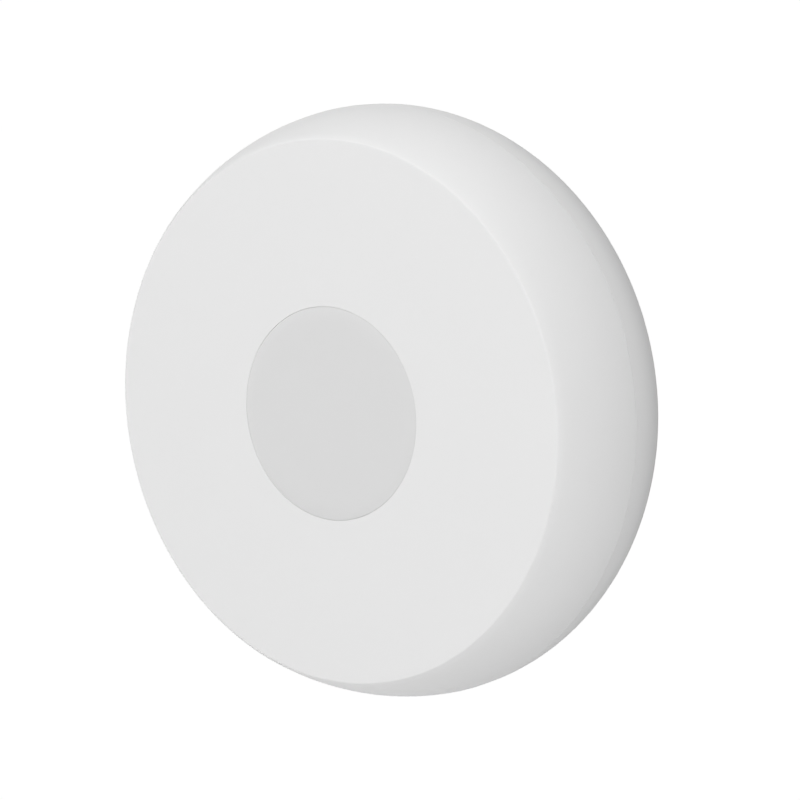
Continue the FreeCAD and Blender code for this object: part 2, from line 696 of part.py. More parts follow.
def make_frame_screws():
    """Three pan-head screws with a cross recess, from the frame through the board into the bosses."""
    body = new_body("frame_screws")
    body.AllowCompound = True
    head_level = plate_back_level - size.screw_head_thick
    head = flat_sketch(body, "head", head_level)
    turn_flat(head, BOSS_TURN)
    draw_circle(head, screw_circle_radius, 0, size.screw_head_dia / 2)
    head_pad = pad(body, head, size.screw_head_thick)
    shank = flat_sketch(body, "shank", plate_back_level)
    turn_flat(shank, BOSS_TURN)
    draw_circle(shank, screw_circle_radius, 0, size.screw_shank_dia / 2)
    shank_pad = pad(body, shank, size.screw_length)
    half_arm = size.screw_cross_length / 2
    half_width = size.screw_cross_width / 2
    cuts = []
    for name, across, up in (("cross_level", half_arm, half_width), ("cross_upright", half_width, half_arm)):
        slot = flat_sketch(body, name, head_level)
        turn_flat(slot, BOSS_TURN)
        draw_outline(slot, rectangle(screw_circle_radius - across, screw_circle_radius + across, -up, up))
        cuts.append(pocket(body, slot, size.screw_cross_depth))
    repeat_round(body, [head_pad, shank_pad] + cuts, BOSS_COUNT)


def make_circuit_board():
    """Round board with holes for the screws and pegs."""
    body = new_body("circuit_board")
    revolve(body, "board_section", rectangle(0, board_radius, board_back_level, board_front_level))
    hole = flat_sketch(body, "screw_hole", board_back_level)
    turn_flat(hole, BOSS_TURN)
    draw_circle(hole, screw_circle_radius, 0, (size.screw_shank_dia + size.screw_passage) / 2)
    hole_cut = pocket(body, hole, size.board_thick)
    repeat_round(body, [hole_cut], BOSS_COUNT)
    peg_hole = flat_sketch(body, "peg_hole", board_back_level)
    turn_flat(peg_hole, PEG_TURN)
    peg_radius = size.peg_dia / 2 + size.peg_clearance
    draw_circle(peg_hole, peg_circle_radius, 0, peg_radius)
    draw_circle(peg_hole, -peg_circle_radius, 0, peg_radius)
    pocket(body, peg_hole, size.board_thick)


def make_switch_housing():
    """Square body of the tactile switch with a round room for dome and plunger."""
    body = new_body("switch_housing")
    half = size.switch_side / 2
    block = flat_sketch(body, "block", board_front_level)
    draw_outline(block, rectangle(-half, half, -half, half))
    pad(body, block, size.switch_height)
    room = flat_sketch(body, "room", switch_floor_level)
    draw_circle(room, 0, 0, size.switch_bore_dia / 2)
    pocket(body, room, size.switch_height - size.switch_floor)


def make_switch_plate():
    """Metal top of the switch with the plunger's hole."""
    body = new_body("switch_plate")
    half = size.switch_side / 2
    plate = flat_sketch(body, "plate", switch_front_level)
    draw_outline(plate, rectangle(-half, half, -half, half))
    draw_circle(plate, 0, 0, size.plunger_dia / 2 + size.plunger_clearance)
    pad(body, plate, size.switch_plate_thick)


def make_switch_dome():
    """Snap dome: a thin cap of a sphere that carries the plunger."""
    body = new_body("switch_dome")
    radius = size.dome_dia / 2
    outer_round = (radius * radius + size.dome_rise * size.dome_rise) / (2 * size.dome_rise)
    inner_rise = size.dome_rise - size.dome_thick
    inner_radius = radius - size.dome_foot
    inner_round = (inner_radius * inner_radius + inner_rise * inner_rise) / (2 * inner_rise)
    floor = switch_floor_level + size.touch_gap
    revolve(body, "dome_section", [
        (inner_radius, floor),
        (radius, floor),
        (0, floor + size.dome_rise),
        (0, floor + inner_rise),
    ], {1: outer_round, 3: -inner_round})


def make_switch_plunger():
    """Plunger of the switch: a foot on the dome and a round post out of the metal top."""
    body = new_body("switch_plunger")
    foot_level = switch_floor_level + size.dome_rise + size.touch_gap * 2
    revolve(body, "plunger_section", [
        (0, foot_level),
        (size.plunger_foot_dia / 2, foot_level),
        (size.plunger_foot_dia / 2, foot_level + size.plunger_foot_thick),
        (size.plunger_dia / 2, foot_level + size.plunger_foot_thick),
        (size.plunger_dia / 2, plunger_front_level),
        (0, plunger_front_level),
    ])


def make_switch_terminals():
    """Four bent legs that stand on the board beside the switch."""
    body = new_body("switch_terminals")
    body.AllowCompound = True
    thick = size.switch_plate_thick
    half_width = size.terminal_width / 2
    half_spacing = size.terminal_spacing / 2
    near = size.switch_side / 2 + size.touch_gap
    foot = ("foot", size.terminal_foot, board_front_level, thick)
    leg = ("leg", thick, board_front_level + thick, size.switch_floor - thick)
    for side, sign in (("right", 1), ("left", -1)):
        for place, up in (("upper", half_spacing), ("lower", -half_spacing)):
            for kind, reach, level, height in (foot, leg):
                sketch = flat_sketch(body, f"{side}_{place}_{kind}", level)
                low, high = near * sign, (near + reach) * sign
                draw_outline(sketch, rectangle(low, high, up - half_width, up + half_width))
                pad(body, sketch, height)


def make_button_cap():
    """Push button: flat top with a sloping edge, side, flange with two keys, stem and ribs."""
    body = new_body("button_cap")
    inner_radius = button_radius - size.button_wall
    slope = size.button_slope
    drop = size.button_slope_drop
    slope_round = (slope * slope + drop * drop) / (2 * drop)
    revolve(body, "cap_section", [
        (0, stem_back_level),
        (stem_radius, stem_back_level),
        (stem_radius, button_under_level),
        (inner_radius, button_under_level),
        (inner_radius, flange_back_level),
        (flange_radius, flange_back_level),
        (flange_radius, flange_front_level),
        (button_radius, flange_front_level),
        (button_radius, face_level - drop),
        (button_radius - size.button_slope, face_level),
        (0, face_level),
    ], {8: slope_round})
    round_edge(body, "top_corner", button_radius, face_level - drop, size.button_corner_round)
    key = flat_sketch(body, "keys", flange_back_level)
    half_key = size.key_width / 2
    reach = flange_radius + size.key_reach
    mid_wall = button_radius - size.button_wall / 2
    draw_outline(key, rectangle(mid_wall, reach, -half_key, half_key))
    key_pad = pad(body, key, size.flange_thick)
    repeat_round(body, [key_pad], 2)
    half_rib = size.stem_rib_thick / 2
    for name, turn in (("stem_rib_rising", RIB_TURN), ("stem_rib_falling", -RIB_TURN)):
        rib = flat_sketch(body, name, flange_back_level)
        turn_flat(rib, turn)
        draw_outline(rib, rectangle(-mid_wall, mid_wall, -half_rib, half_rib))
        pad(body, rib, button_under_level - flange_back_level)


def make_button_membrane():
    """Silicone membrane: a rim held by the retainer, a sloping web and a pad between stem and plunger."""
    body = new_body("button_membrane")
    rim_bore = guide_radius - size.bead_width
    pad_radius = stem_radius + size.membrane_pad_rim
    bead_front = guide_level - size.touch_gap
    bead_back = bead_back_level + size.touch_gap
    web_foot = bead_back + size.membrane_web
    pad_web = membrane_back_level + size.membrane_web
    revolve(body, "membrane_section", [
        (0, membrane_back_level),
        (pad_radius, membrane_back_level),
        (rim_bore, bead_back),
        (guide_radius, bead_back),
        (guide_radius, bead_front),
        (rim_bore, bead_front),
        (rim_bore - size.membrane_web, web_foot),
        (pad_radius, pad_web),
        (pad_radius - size.membrane_pad_rim, membrane_front_level),
        (0, membrane_front_level),
    ])


def make_membrane_retainer():
    """Ring with three ears on the front cover's posts, which holds the membrane's rim."""
    body = new_body("membrane_retainer")
    ring = flat_sketch(body, "ring", retainer_back_level)
    draw_circle(ring, 0, 0, guide_radius)
    draw_circle(ring, 0, 0, guide_radius - size.bead_width)
    pad(body, ring, size.retainer_thick)
    ear = flat_sketch(body, "ear", retainer_back_level)
    turn_flat(ear, STAKE_TURN)
    draw_circle(ear, stake_circle_radius, 0, size.ear_dia / 2)
    ear_pad = pad(body, ear, size.retainer_thick)
    web = flat_sketch(body, "ear_web", retainer_back_level)
    turn_flat(web, STAKE_TURN)
    quarter = size.ear_dia / 2
    draw_outline(web, rectangle(guide_radius - size.bead_width / 2, stake_circle_radius, -quarter, quarter))
    web_pad = pad(body, web, size.retainer_thick)
    repeat_round(body, [ear_pad, web_pad], BOSS_COUNT)
    hole = flat_sketch(body, "ear_hole", retainer_back_level)
    turn_flat(hole, STAKE_TURN)
    draw_circle(hole, stake_circle_radius, 0, size.stake_dia / 2 + size.stake_clearance)
    hole_cut = pocket(body, hole, size.retainer_thick)
    repeat_round(body, [hole_cut], BOSS_COUNT)


def make_battery_cell():
    """Coin cell: can towards the wall, negative cap towards the board."""
    body = new_body("battery_cell")
    edge = size.cell_cap_rise
    cap_radius = cell_radius - size.cell_cap_inset
    shoulder = plate_back_level - size.touch_gap
    revolve(body, "cell_section", [
        (0, cell_back_level),
        (cell_radius - edge, cell_back_level),
        (cell_radius, cell_back_level + edge),
        (cell_radius, shoulder - edge),
        (cell_radius - edge, shoulder),
        (cap_radius, shoulder),
        (cap_radius, cell_front_level - size.touch_gap),
        (0, cell_front_level - size.touch_gap),
    ])


def make_battery_negative_contact():
    """Leaf spring on the board's rear that bows back to the cell's cap."""
    body = new_body("battery_negative_contact")
    sketch = section_sketch(body, "leaf_section")
    board = board_back_level - size.touch_gap
    thick = size.sheet_thick
    reach = window_radius - size.negative_margin
    bend = reach / 2
    tip = (reach + bend) / 2
    touch = cell_front_level + size.touch_gap
    draw_outline(sketch, [
        (-reach, board - thick),
        (-bend, board - thick),
        (bend, touch),
        (tip, touch + thick),
        (tip, touch + thick * 2),
        (bend, touch + thick),
        (-bend, board),
        (-reach, board),
    ])
    strip = body.newObject("PartDesign::Pad", "leaf")
    strip.Profile = sketch
    strip.Midplane = True
    strip.setExpression("Length", size.negative_width.formula)


def make_battery_positive_contact():
    """Bent strip from the board's rear down beside the cell, bowed to touch the can's side."""
    body = new_body("battery_positive_contact")
    sketch = section_sketch(body, "strip_section")
    board = board_back_level - size.touch_gap
    thick = size.sheet_thick
    touch = -(cell_radius + size.touch_gap)
    leg = -(cell_radius + size.cell_clearance * 2)
    middle = (cell_back_level + plate_back_level) / 2
    upper = (middle + board) / 2
    lower = middle - (upper - middle) / 2
    draw_outline(sketch, [
        (-positive_tab_end, board - thick),
        (leg - thick, board - thick),
        (leg - thick, upper),
        (touch - thick, middle),
        (leg - thick, lower),
        (leg, lower),
        (touch, middle),
        (leg, upper),
        (leg, board),
        (-positive_tab_end, board),
    ])
    strip = body.newObject("PartDesign::Pad", "strip")
    strip.Profile = sketch
    strip.Midplane = True
    strip.setExpression("Length", size.positive_width.formula)


def make_radio_shield():
    """Folded metal can over the radio, open towards the board."""
    body = new_body("radio_shield")
    half_length = size.shield_length / 2
    half_width = size.shield_width / 2
    offset = radio_offset
    can = flat_sketch(body, "can", board_front_level)
    draw_outline(can, rectangle(-(offset + half_width), -(offset - half_width), -half_length, half_length))
    pad(body, can, size.shield_height)
    room = flat_sketch(body, "room", board_front_level)
    wall = size.sheet_thick
    draw_outline(room, rectangle(-(offset + half_width - wall), -(offset - half_width + wall),
                                 -(half_length - wall), half_length - wall))
    pocket(body, room, size.shield_height - wall)


def place_block(label, across, up, width, length, height):
    """A block on the board with its middle at a place."""
    block = document.addObject("Part::Box", label)
    low_across = across - width / 2
    low_up = up - length / 2
    for name, place in (("Length", width), ("Width", length), ("Height", height),
                        ("Placement.Base.x", low_across), ("Placement.Base.y", low_up),
                        ("Placement.Base.z", board_front_level)):
        block.setExpression(name, as_size(place).formula)
    return block


def make_board_block(label, across, up, width, length, height):
    """A single moulded or soldered block as a sub-part of its own."""
    body = new_body(label)
    sketch = flat_sketch(body, label + "_outline", board_front_level)
    draw_outline(sketch, rectangle(across - width / 2, across + width / 2, up - length / 2, up + length / 2))
    pad(body, sketch, height)
    return body


def make_block_group(label, places, width, length, height):
    """Equal small components in one group."""
    blocks = []
    for number, (across, up) in enumerate(places, start=1):
        blocks.append(place_block(f"{label}_{number}", as_size(across), as_size(up), width, length, height))
    group = document.addObject("Part::Compound", label)
    group.Label = label
    group.Links = blocks
    sub_parts.append(group)


def make_status_led():
    """Small lamp beside the switch, whose light shows in the gap round the button."""
    drop = -(size.switch_side / 2 + size.lamp_gap)
    body = make_board_block("status_led", as_size(0), drop, size.lamp_length, size.lamp_width,
                            size.lamp_height)
    lens = flat_sketch(body, "lens", board_front_level + size.lamp_height)
    draw_circle(lens, 0, drop, size.lamp_lens_dia / 2)
    pad(body, lens, size.lamp_lens_rise)


def reach_near_edge(half_length, half_width):
    """How far from the axis a block's middle stands when its outer corners keep the margin to the edge."""
    return root(board_radius * board_radius - half_length * half_length) - size.board_edge_margin - half_width


# Shared by several pieces: seal groove, screw grip, contact tab, and the places of what stands on the board.
seal_section_radius = size.seal_section_dia / 2
seal_ring_radius = bore_radius - size.seal_clearance - seal_section_radius
seal_groove_radius = seal_ring_radius - seal_section_radius - size.seal_clearance / 2
seal_half_groove = seal_section_radius + size.seal_clearance
seal_level = (spigot_level + front_rim_level) / 2
screw_in_boss = size.screw_length - size.frame_plate - size.board_thick
positive_tab_end = well_radius + size.positive_width / 2
radio_offset = reach_near_edge(size.shield_length / 2, size.shield_width / 2)
antenna_offset = reach_near_edge(size.antenna_length / 2, size.antenna_width / 2)
reservoir_offset = size.switch_side / 2 + size.reservoir_gap + size.reservoir_length / 2
chip_row = [size.switch_side / 2 + size.chip_row_gap + size.chip_part_pitch * step for step in range(4)]

make_rear_cover()
make_adhesive_pad()
make_front_cover()
make_cover_seal()
make_inner_frame()
make_frame_screws()
make_circuit_board()
make_switch_housing()
make_switch_plate()
make_switch_dome()
make_switch_plunger()
make_switch_terminals()
make_button_cap()
make_button_membrane()
make_membrane_retainer()
make_battery_cell()
make_battery_negative_contact()
make_battery_positive_contact()
make_radio_shield()
make_board_block("radio_chip", -radio_offset, size.radio_chip_rise, size.radio_chip_side,
                 size.radio_chip_side, size.radio_chip_height)
make_board_block("crystal", -radio_offset, size.radio_chip_rise - size.radio_spacing, size.crystal_length,
                 size.crystal_width, size.crystal_height)
make_board_block("chip_antenna", antenna_offset, as_size(0), size.antenna_width, size.antenna_length,
                 size.antenna_height)
make_board_block("reservoir_capacitor", reservoir_offset, size.reservoir_rise, size.reservoir_length,
                 size.reservoir_width, size.reservoir_height)
make_block_group("board_capacitors", [(across, size.chip_capacitor_rise) for across in chip_row],
                 size.chip_part_width, size.chip_part_length, size.chip_capacitor_height)
make_block_group("board_resistors", [(across, -size.chip_resistor_drop) for across in chip_row],
                 size.chip_part_width, size.chip_part_length, size.chip_resistor_height)
make_status_led()

# Stand every piece up: the level above the wall becomes -Y, and what was drawn upwards becomes +Z.
upright = FreeCAD.Placement(FreeCAD.Vector(0, 0, 0), FreeCAD.Rotation(FreeCAD.Vector(1, 0, 0), 90))
for piece in sub_parts:
    piece.Placement = upright
document.recompute()

faults = [item.Label for item in document.Objects if {"Invalid", "Error"} & set(item.State)]
for piece in sub_parts:
    if piece.Shape.isNull() or not piece.Shape.isValid() or not piece.Shape.Solids:
        faults.append(piece.Label)
if faults:
    print("failed:", ", ".join(faults))
    sys.exit(1)

os.makedirs("parts", exist_ok=True)
for piece in sub_parts:
    piece.Shape.exportStep(f"parts/{piece.Label}.step")
    print(f"{piece.Label}: {len(piece.Shape.Solids)} solid(s), {piece.Shape.Volume:.1f} mm3")
print(f"face {face_level.number:.2f} mm from the wall, parting line {parting_level.number:.2f} mm")
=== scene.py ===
# %% [markdown]
# # Emergency button
# A white puck hangs on a wall, and a light grey push button sits in the middle of its face.
# The imported CAD model is loaded first, as a fixed frame: every piece made here goes where the CAD says.

# %% Load the frame
import math

import bmesh
import bpy
import numpy as np
from mathutils import Matrix, Vector


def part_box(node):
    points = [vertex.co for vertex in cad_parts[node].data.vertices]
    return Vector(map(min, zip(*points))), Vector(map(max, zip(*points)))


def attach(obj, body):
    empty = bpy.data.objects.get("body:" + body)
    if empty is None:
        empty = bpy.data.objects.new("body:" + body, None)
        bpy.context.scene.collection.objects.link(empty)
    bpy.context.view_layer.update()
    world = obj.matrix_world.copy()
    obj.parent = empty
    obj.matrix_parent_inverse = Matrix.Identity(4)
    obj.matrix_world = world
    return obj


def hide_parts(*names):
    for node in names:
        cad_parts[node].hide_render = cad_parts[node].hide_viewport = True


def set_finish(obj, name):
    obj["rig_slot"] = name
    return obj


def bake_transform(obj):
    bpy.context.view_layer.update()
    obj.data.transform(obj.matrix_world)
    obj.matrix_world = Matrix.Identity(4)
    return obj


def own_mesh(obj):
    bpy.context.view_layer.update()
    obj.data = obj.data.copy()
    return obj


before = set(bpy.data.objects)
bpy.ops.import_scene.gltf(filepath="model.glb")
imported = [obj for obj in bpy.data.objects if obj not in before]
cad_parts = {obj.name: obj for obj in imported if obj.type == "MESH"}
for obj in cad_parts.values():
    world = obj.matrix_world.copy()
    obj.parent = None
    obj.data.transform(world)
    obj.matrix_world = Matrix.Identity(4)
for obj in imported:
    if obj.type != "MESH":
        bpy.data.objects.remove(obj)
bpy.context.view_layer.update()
MM = 0.001

# %% [markdown]
# ## Sizes
# The puck is drawn in millimetres as radius and level: the level counts from the wall towards the face.
# Its main sizes are measured on the CAD nodes, so that the finer surfaces stay on the solids they replace.
# Walls, gaps and small rounds can't be read off a box, so they are named here. The parting line and the
# gap round the button are hairlines in the photograph, and the button stands a little proud of the face.

# %% Measure the nodes
def extent(node):
    """A node's lowest and highest level above the wall and its largest radius along X, in millimetres."""
    low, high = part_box(node)
    return -high.y / MM, -low.y / MM, high.x / MM


BACK, REAR_RIM, BODY_RADIUS = extent("rear_cover")
SPIGOT_END, FACE, _ = extent("front_cover")
STEM_END, _, KEY_REACH = extent("button_cap")
PAD_BACK, PAD_FRONT, PAD_RADIUS = extent("adhesive_pad")
SEAL_BACK, SEAL_FRONT, SEAL_RADIUS = extent("cover_seal")
MEMBRANE_BACK, MEMBRANE_FRONT, MEMBRANE_RADIUS = extent("button_membrane")
DOME_BACK, DOME_FRONT, DOME_RADIUS = extent("switch_dome")
print("body radius", round(BODY_RADIUS, 3), "face", round(FACE, 3), "rear rim", round(REAR_RIM, 3))

# %% Name what a box doesn't tell
WALL = 1.8
PARTING = 10.7
PARTING_GAP = 0.02
PARTING_BEVEL = 0.025
BAND = 1.0
SPIGOT_PLAY = 0.3
SPIGOT_WALL = 1.6
SPIGOT_RISE = 2.3
BORE_RADIUS = BODY_RADIUS - WALL
SPIGOT_RADIUS = BORE_RADIUS - SPIGOT_PLAY
SPIGOT_BORE = SPIGOT_RADIUS - SPIGOT_WALL
SPIGOT_ROOT = PARTING + SPIGOT_RISE
INNER_FACE = FACE - WALL
BUTTON_PROUD = 0.1
HOLE_RADIUS = 9.92
BUTTON_RADIUS = 9.9
FLANGE_RADIUS = 11.23
print("bore", round(BORE_RADIUS, 3), "spigot", round(SPIGOT_RADIUS, 3), "inner face", round(INNER_FACE, 3))

# %% [markdown]
# ## Camera
# The photograph looks at the puck from its right and a little from above, with little perspective.
# The camera stands nine and a half body radii away, and its frame is a little to the side of the face's
# middle. The focal length is given as a share of the picture's width.

# %% Place the camera
CAMERA_AZIMUTH = math.radians(36.78)
CAMERA_ELEVATION = math.radians(8.915)
CAMERA_DISTANCE = 9.5
CAMERA_ASIDE = 0.2341
CAMERA_ABOVE = 0.0463
SENSOR_WIDTH = 36.0
FOCAL_SHARE = 2895 / 800


def place_camera():
    """Stands the camera at the photograph's angle; the offsets are shares of the body's radius."""
    radius = BODY_RADIUS * MM
    back = Vector((math.sin(CAMERA_AZIMUTH) * math.cos(CAMERA_ELEVATION),
                   -math.cos(CAMERA_AZIMUTH) * math.cos(CAMERA_ELEVATION),
                   math.sin(CAMERA_ELEVATION)))
    right = Vector((math.cos(CAMERA_AZIMUTH), math.sin(CAMERA_AZIMUTH), 0))
    up = back.cross(right)
    place = Vector((0, -FACE * MM, 0))
    place += radius * (CAMERA_DISTANCE * back + CAMERA_ASIDE * right + CAMERA_ABOVE * up)
    lens = bpy.data.cameras.new("camera")
    lens.sensor_width = SENSOR_WIDTH
    lens.lens = FOCAL_SHARE * SENSOR_WIDTH
    camera = bpy.data.objects.new("camera", lens)
    bpy.context.collection.objects.link(camera)
    turned_to = Matrix((right, up, back)).transposed().to_4x4()
    turned_to.translation = place
    camera.matrix_world = turned_to
    bpy.context.scene.camera = camera
    return camera


print("camera at", [round(value, 4) for value in place_camera().matrix_world.translation])

# %% [markdown]
# ## Outlines
# Most pieces of a puck are turned: an outline in (radius, level) goes once round the axis.
# An outline is a chain of straight and round stretches between corners. Real moulded corners are never
# knife sharp, so each corner may give way to a small parabola. How much of both stretches it takes is the
# corner's softness in millimetres, from a hair's breadth to a deep fillet. Two support rows beside it keep
# the flats flat in shading.

# %% Stretches of an outline
SHARP = 0
HAIR = 0.02
CRISP = 0.05
FINE = 0.1
LIGHT = 0.12
SOFT = 0.15
BLUNT = 0.2
LEAD_IN = 0.25
FULL = 0.3
DEEP = 0.4
SUPPORT = 0.03
SAME_POINT = 1e-5
ARC_STEPS = 32
CORNER_STEPS = 8


def line(start, end, steps=1):
    """A straight stretch: point(t) = (1 - t) start + t end."""
    share = np.linspace(0, 1, steps + 1)[:, None]
    return (1 - share) * start + share * end


def arc(centre, start, end, steps=ARC_STEPS):
    """A round stretch: point(t) = centre + reach(t) (cos a(t), sin a(t)), the angle going the short way."""
    centre = np.array(centre, float)
    first, last = start - centre, end - centre
    angle = math.atan2(first[1], first[0])
    swing = (math.atan2(last[1], last[0]) - angle + math.pi) % (2 * math.pi) - math.pi
    share = np.linspace(0, 1, steps + 1)
    reach = np.hypot(*first) + share * (np.hypot(*last) - np.hypot(*first))
    turns = angle + share * swing
    return centre + reach[:, None] * np.column_stack([np.cos(turns), np.sin(turns)])


def shortened(stretch, before, after):
    """The stretch without its first and last bit, with a support row near both of its new ends."""
    along = np.concatenate([[0], np.cumsum(np.hypot(*np.diff(stretch, axis=0).T))])
    first, last = before, along[-1] - after
    places = np.linspace(first, last, len(stretch))
    if last - first > 4 * SUPPORT:
        places = np.unique(np.concatenate([places, [first + SUPPORT, last - SUPPORT]]))
    return np.column_stack([np.interp(places, along, stretch[:, side]) for side in (0, 1)])


def joined(stretches, softness, closed):
    """One outline from stretches that meet end to start.

    At each meeting a bit of that softness gives way on both sides to the parabola
    (1-t)^2 A + 2t(1-t) C + t^2 B, where C is the old corner. A softness of 0 leaves the corner sharp.
    """
    after = softness if closed else softness + [SHARP]
    before = [after[-1]] + after[:-1]
    kept = [shortened(*parts) for parts in zip(stretches, before, after)]
    t = np.linspace(0, 1, CORNER_STEPS + 1)[:, None]
    rows = []
    for number, piece in enumerate(kept):
        rows.append(piece)
        if after[number]:
            corner = stretches[number][-1]
            following = kept[(number + 1) % len(kept)][0]
            rows.append((1 - t) ** 2 * piece[-1] + 2 * t * (1 - t) * corner + t ** 2 * following)
    rows = np.vstack(rows)
    fresh = np.hypot(*(rows - np.roll(rows, 1, axis=0)).T) > SAME_POINT
    if not closed:
        fresh[0] = True
    return rows[fresh]


def outline_through(corners, closed=False, arcs=None, steps=None):
    """One outline through corners, each a radius, a level and a softness.

    The stretch after a corner is straight, or round about the centre that arcs gives for its number.
    A line takes one step and an arc ARC_STEPS, unless steps gives another count for its number.
    """
    arcs = arcs or {}
    steps = steps or {}
    places = [np.array(corner[:2], float) for corner in corners]
    softness = [corner[2] for corner in corners]
    if closed:
        places.append(places[0])
        softness = softness[1:] + softness[:1]
    else:
        softness = softness[1:-1]
    stretches = []
    for number, ends in enumerate(zip(places[:-1], places[1:])):
        if number in arcs:
            stretches.append(arc(arcs[number], *ends, steps.get(number, ARC_STEPS)))
        else:
            stretches.append(line(*ends, steps.get(number, 1)))
    return joined(stretches, softness, closed)


print("corners soften from", HAIR, "to", DEEP, "mm")

# %% [markdown]
# ## Surfaces
# A turned surface is a grid with the outline along one side and the turn about the axis along the other.
# A post is a flat outline carried from one level to another. Both are closed, so that they can be joined.

# %% Grid to mesh
SEGMENTS = 320


def make_piece(name, points, faces):
    """A mesh object from points in millimetres and faces. Doubles merge, and the faces turn outwards."""
    mesh = bpy.data.meshes.new(name)
    mesh.from_pydata((points * MM).tolist(), [], faces)
    work = bmesh.new()
    work.from_mesh(mesh)
    bmesh.ops.remove_doubles(work, verts=work.verts, dist=SAME_POINT * MM)
    bmesh.ops.recalc_face_normals(work, faces=work.faces)
    work.to_mesh(mesh)
    work.free()
    piece = bpy.data.objects.new(name, mesh)
    bpy.context.collection.objects.link(piece)
    return piece


def grid_faces(rows, columns, wrap_rows, wrap_columns):
    """Quads between neighbours of a grid of points, going round where a side wraps."""
    row = np.arange(rows if wrap_rows else rows - 1)
    column = np.arange(columns if wrap_columns else columns - 1)
    row, column = (side.ravel() for side in np.meshgrid(row, column, indexing="ij"))
    next_row, next_column = (row + 1) % rows, (column + 1) % columns
    corners = [row * columns + column, row * columns + next_column,
               next_row * columns + next_column, next_row * columns + column]
    return np.column_stack(corners).tolist()


def turned(name, outline, closed=False, at=(0, 0), middle=0, span=360, segments=SEGMENTS):
    """A turned surface: point(u, v) = (x + r(u) cos v, -level(u), z + r(u) sin v).

    The turn v covers span degrees about middle; short of a full turn, both ends get a flat cap.
    """
    whole = span == 360
    shares = np.arange(segments if whole else segments + 1) / segments
    turns = np.radians(middle + span * (shares - 0.5))
    radius, level = outline.T
    across = at[0] + np.outer(np.cos(turns), radius)
    upwards = at[1] + np.outer(np.sin(turns), radius)
    inwards = np.broadcast_to(-level, across.shape)
    points = np.stack([across, inwards, upwards], axis=-1).reshape(-1, 3)
    count = len(outline)
    faces = grid_faces(len(turns), count, whole, closed)
    if not whole:
        faces += [list(range(count)), list(range(len(points) - count, len(points)))]
    return make_piece(name, points, faces)


def post(name, outline, low, high):
    """A straight post: its outline, rows of (across, up), carried from one level to another."""
    count = len(outline)
    level = np.repeat([-low, -high], count)
    points = np.column_stack([np.tile(outline[:, 0], 2), level, np.tile(outline[:, 1], 2)])
    faces = grid_faces(2, count, False, True)
    faces += [list(range(count)), list(range(count, 2 * count))]
    return make_piece(name, points, faces)


def ring_of(radius, centre, steps):
    """A round outline: point(t) = centre + radius (cos t, sin t)."""
    turn = np.linspace(0, 2 * math.pi, steps, endpoint=False)
    return np.array(centre) + radius * np.column_stack([np.cos(turn), np.sin(turn)])


def bar_outline(half_length, half_width, turn=0, middle=0):
    """A rectangle about (middle, 0), turned: point = (x cos a - y sin a, x sin a + y cos a)."""
    corners = np.array([[-half_length, -half_width], [half_length, -half_width],
                        [half_length, half_width], [-half_length, half_width]]) + [middle, 0]
    c, s = math.cos(math.radians(turn)), math.sin(math.radians(turn))
    return corners @ np.array([[c, s], [-s, c]])


def round_place(radius, turn):
    """The point (radius cos turn, radius sin turn)."""
    return radius * math.cos(math.radians(turn)), radius * math.sin(math.radians(turn))


print(SEGMENTS, "steps to a full turn")

# %% [markdown]
# Bosses, ribs and holes are joined to a shell or cut out of it. Boolean modifiers do that in one go:
# they are given the tools, the result is read back as a plain mesh, and the tools are thrown away.

# %% Join and cut
SMOOTH_ANGLE = math.radians(28)


def combined(piece, tools, way="UNION"):
    """The piece with every tool joined to it (UNION) or cut out of it (DIFFERENCE)."""
    for tool in tools:
        change = piece.modifiers.new(way.lower(), "BOOLEAN")
        change.operation = way
        change.solver = "MANIFOLD"
        change.object = tool
    graph = bpy.context.evaluated_depsgraph_get()
    result = bpy.data.meshes.new_from_object(piece.evaluated_get(graph))
    piece.modifiers.clear()
    piece.data = result
    for tool in tools:
        bpy.data.objects.remove(tool)
    return piece


def finished(piece, body, slot, *nodes):
    """Smooth shading with sharp edges kept, and the frame's notes: body, slot and nodes it stands for."""
    piece.data.shade_smooth()
    piece.data.set_sharp_from_angle(angle=SMOOTH_ANGLE)
    if body:
        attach(piece, body)
    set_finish(piece, slot)
    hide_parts(*nodes)
    print(piece.name, len(piece.data.polygons), "faces")
    return piece


print("edges over", round(math.degrees(SMOOTH_ANGLE)), "degrees stay sharp")

# %% [markdown]
# ## Front cover
# The white shell with the face. Its side is one arc, which leans in by a few degrees at the parting line
# and further and further towards the face. Just before the face a short edge leans in still more, and both
# of its ends are rounded, so that the crease takes the light as softly as in the photograph. A spigot with
# a groove for the seal reaches into the rear cover.

# %% Outline of the front cover
FACE_LEVEL = FACE - BUTTON_PROUD
SIDE_INSET = 2.8
CREASE_RADIUS = BODY_RADIUS - SIDE_INSET
EDGE_DEPTH = 0.42
EDGE_INSET = 0.1
EDGE_ROUND = 0.26
FACE_ROUND = 0.12
SIDE_DRAFT = math.radians(5.5)
SIDE_ACROSS = SIDE_INSET - EDGE_INSET
SIDE_RISE = FACE_LEVEL - PARTING
SIDE_LEAN = math.atan2(SIDE_ACROSS, SIDE_RISE)
SIDE_ROUND = math.hypot(SIDE_ACROSS, SIDE_RISE) / (2 * math.sin(SIDE_LEAN - SIDE_DRAFT))
SIDE_CENTRE = (BODY_RADIUS - SIDE_ROUND * math.cos(SIDE_DRAFT),
               PARTING - SIDE_ROUND * math.sin(SIDE_DRAFT))
GROOVE_RADIUS = 25.11
GROOVE_LEVEL = (SEAL_BACK + SEAL_FRONT) / 2
GROOVE_HALF = 0.56
GROOVE_BACK = GROOVE_LEVEL - GROOVE_HALF
GROOVE_FRONT = GROOVE_LEVEL + GROOVE_HALF
COVER_STEPS = 40


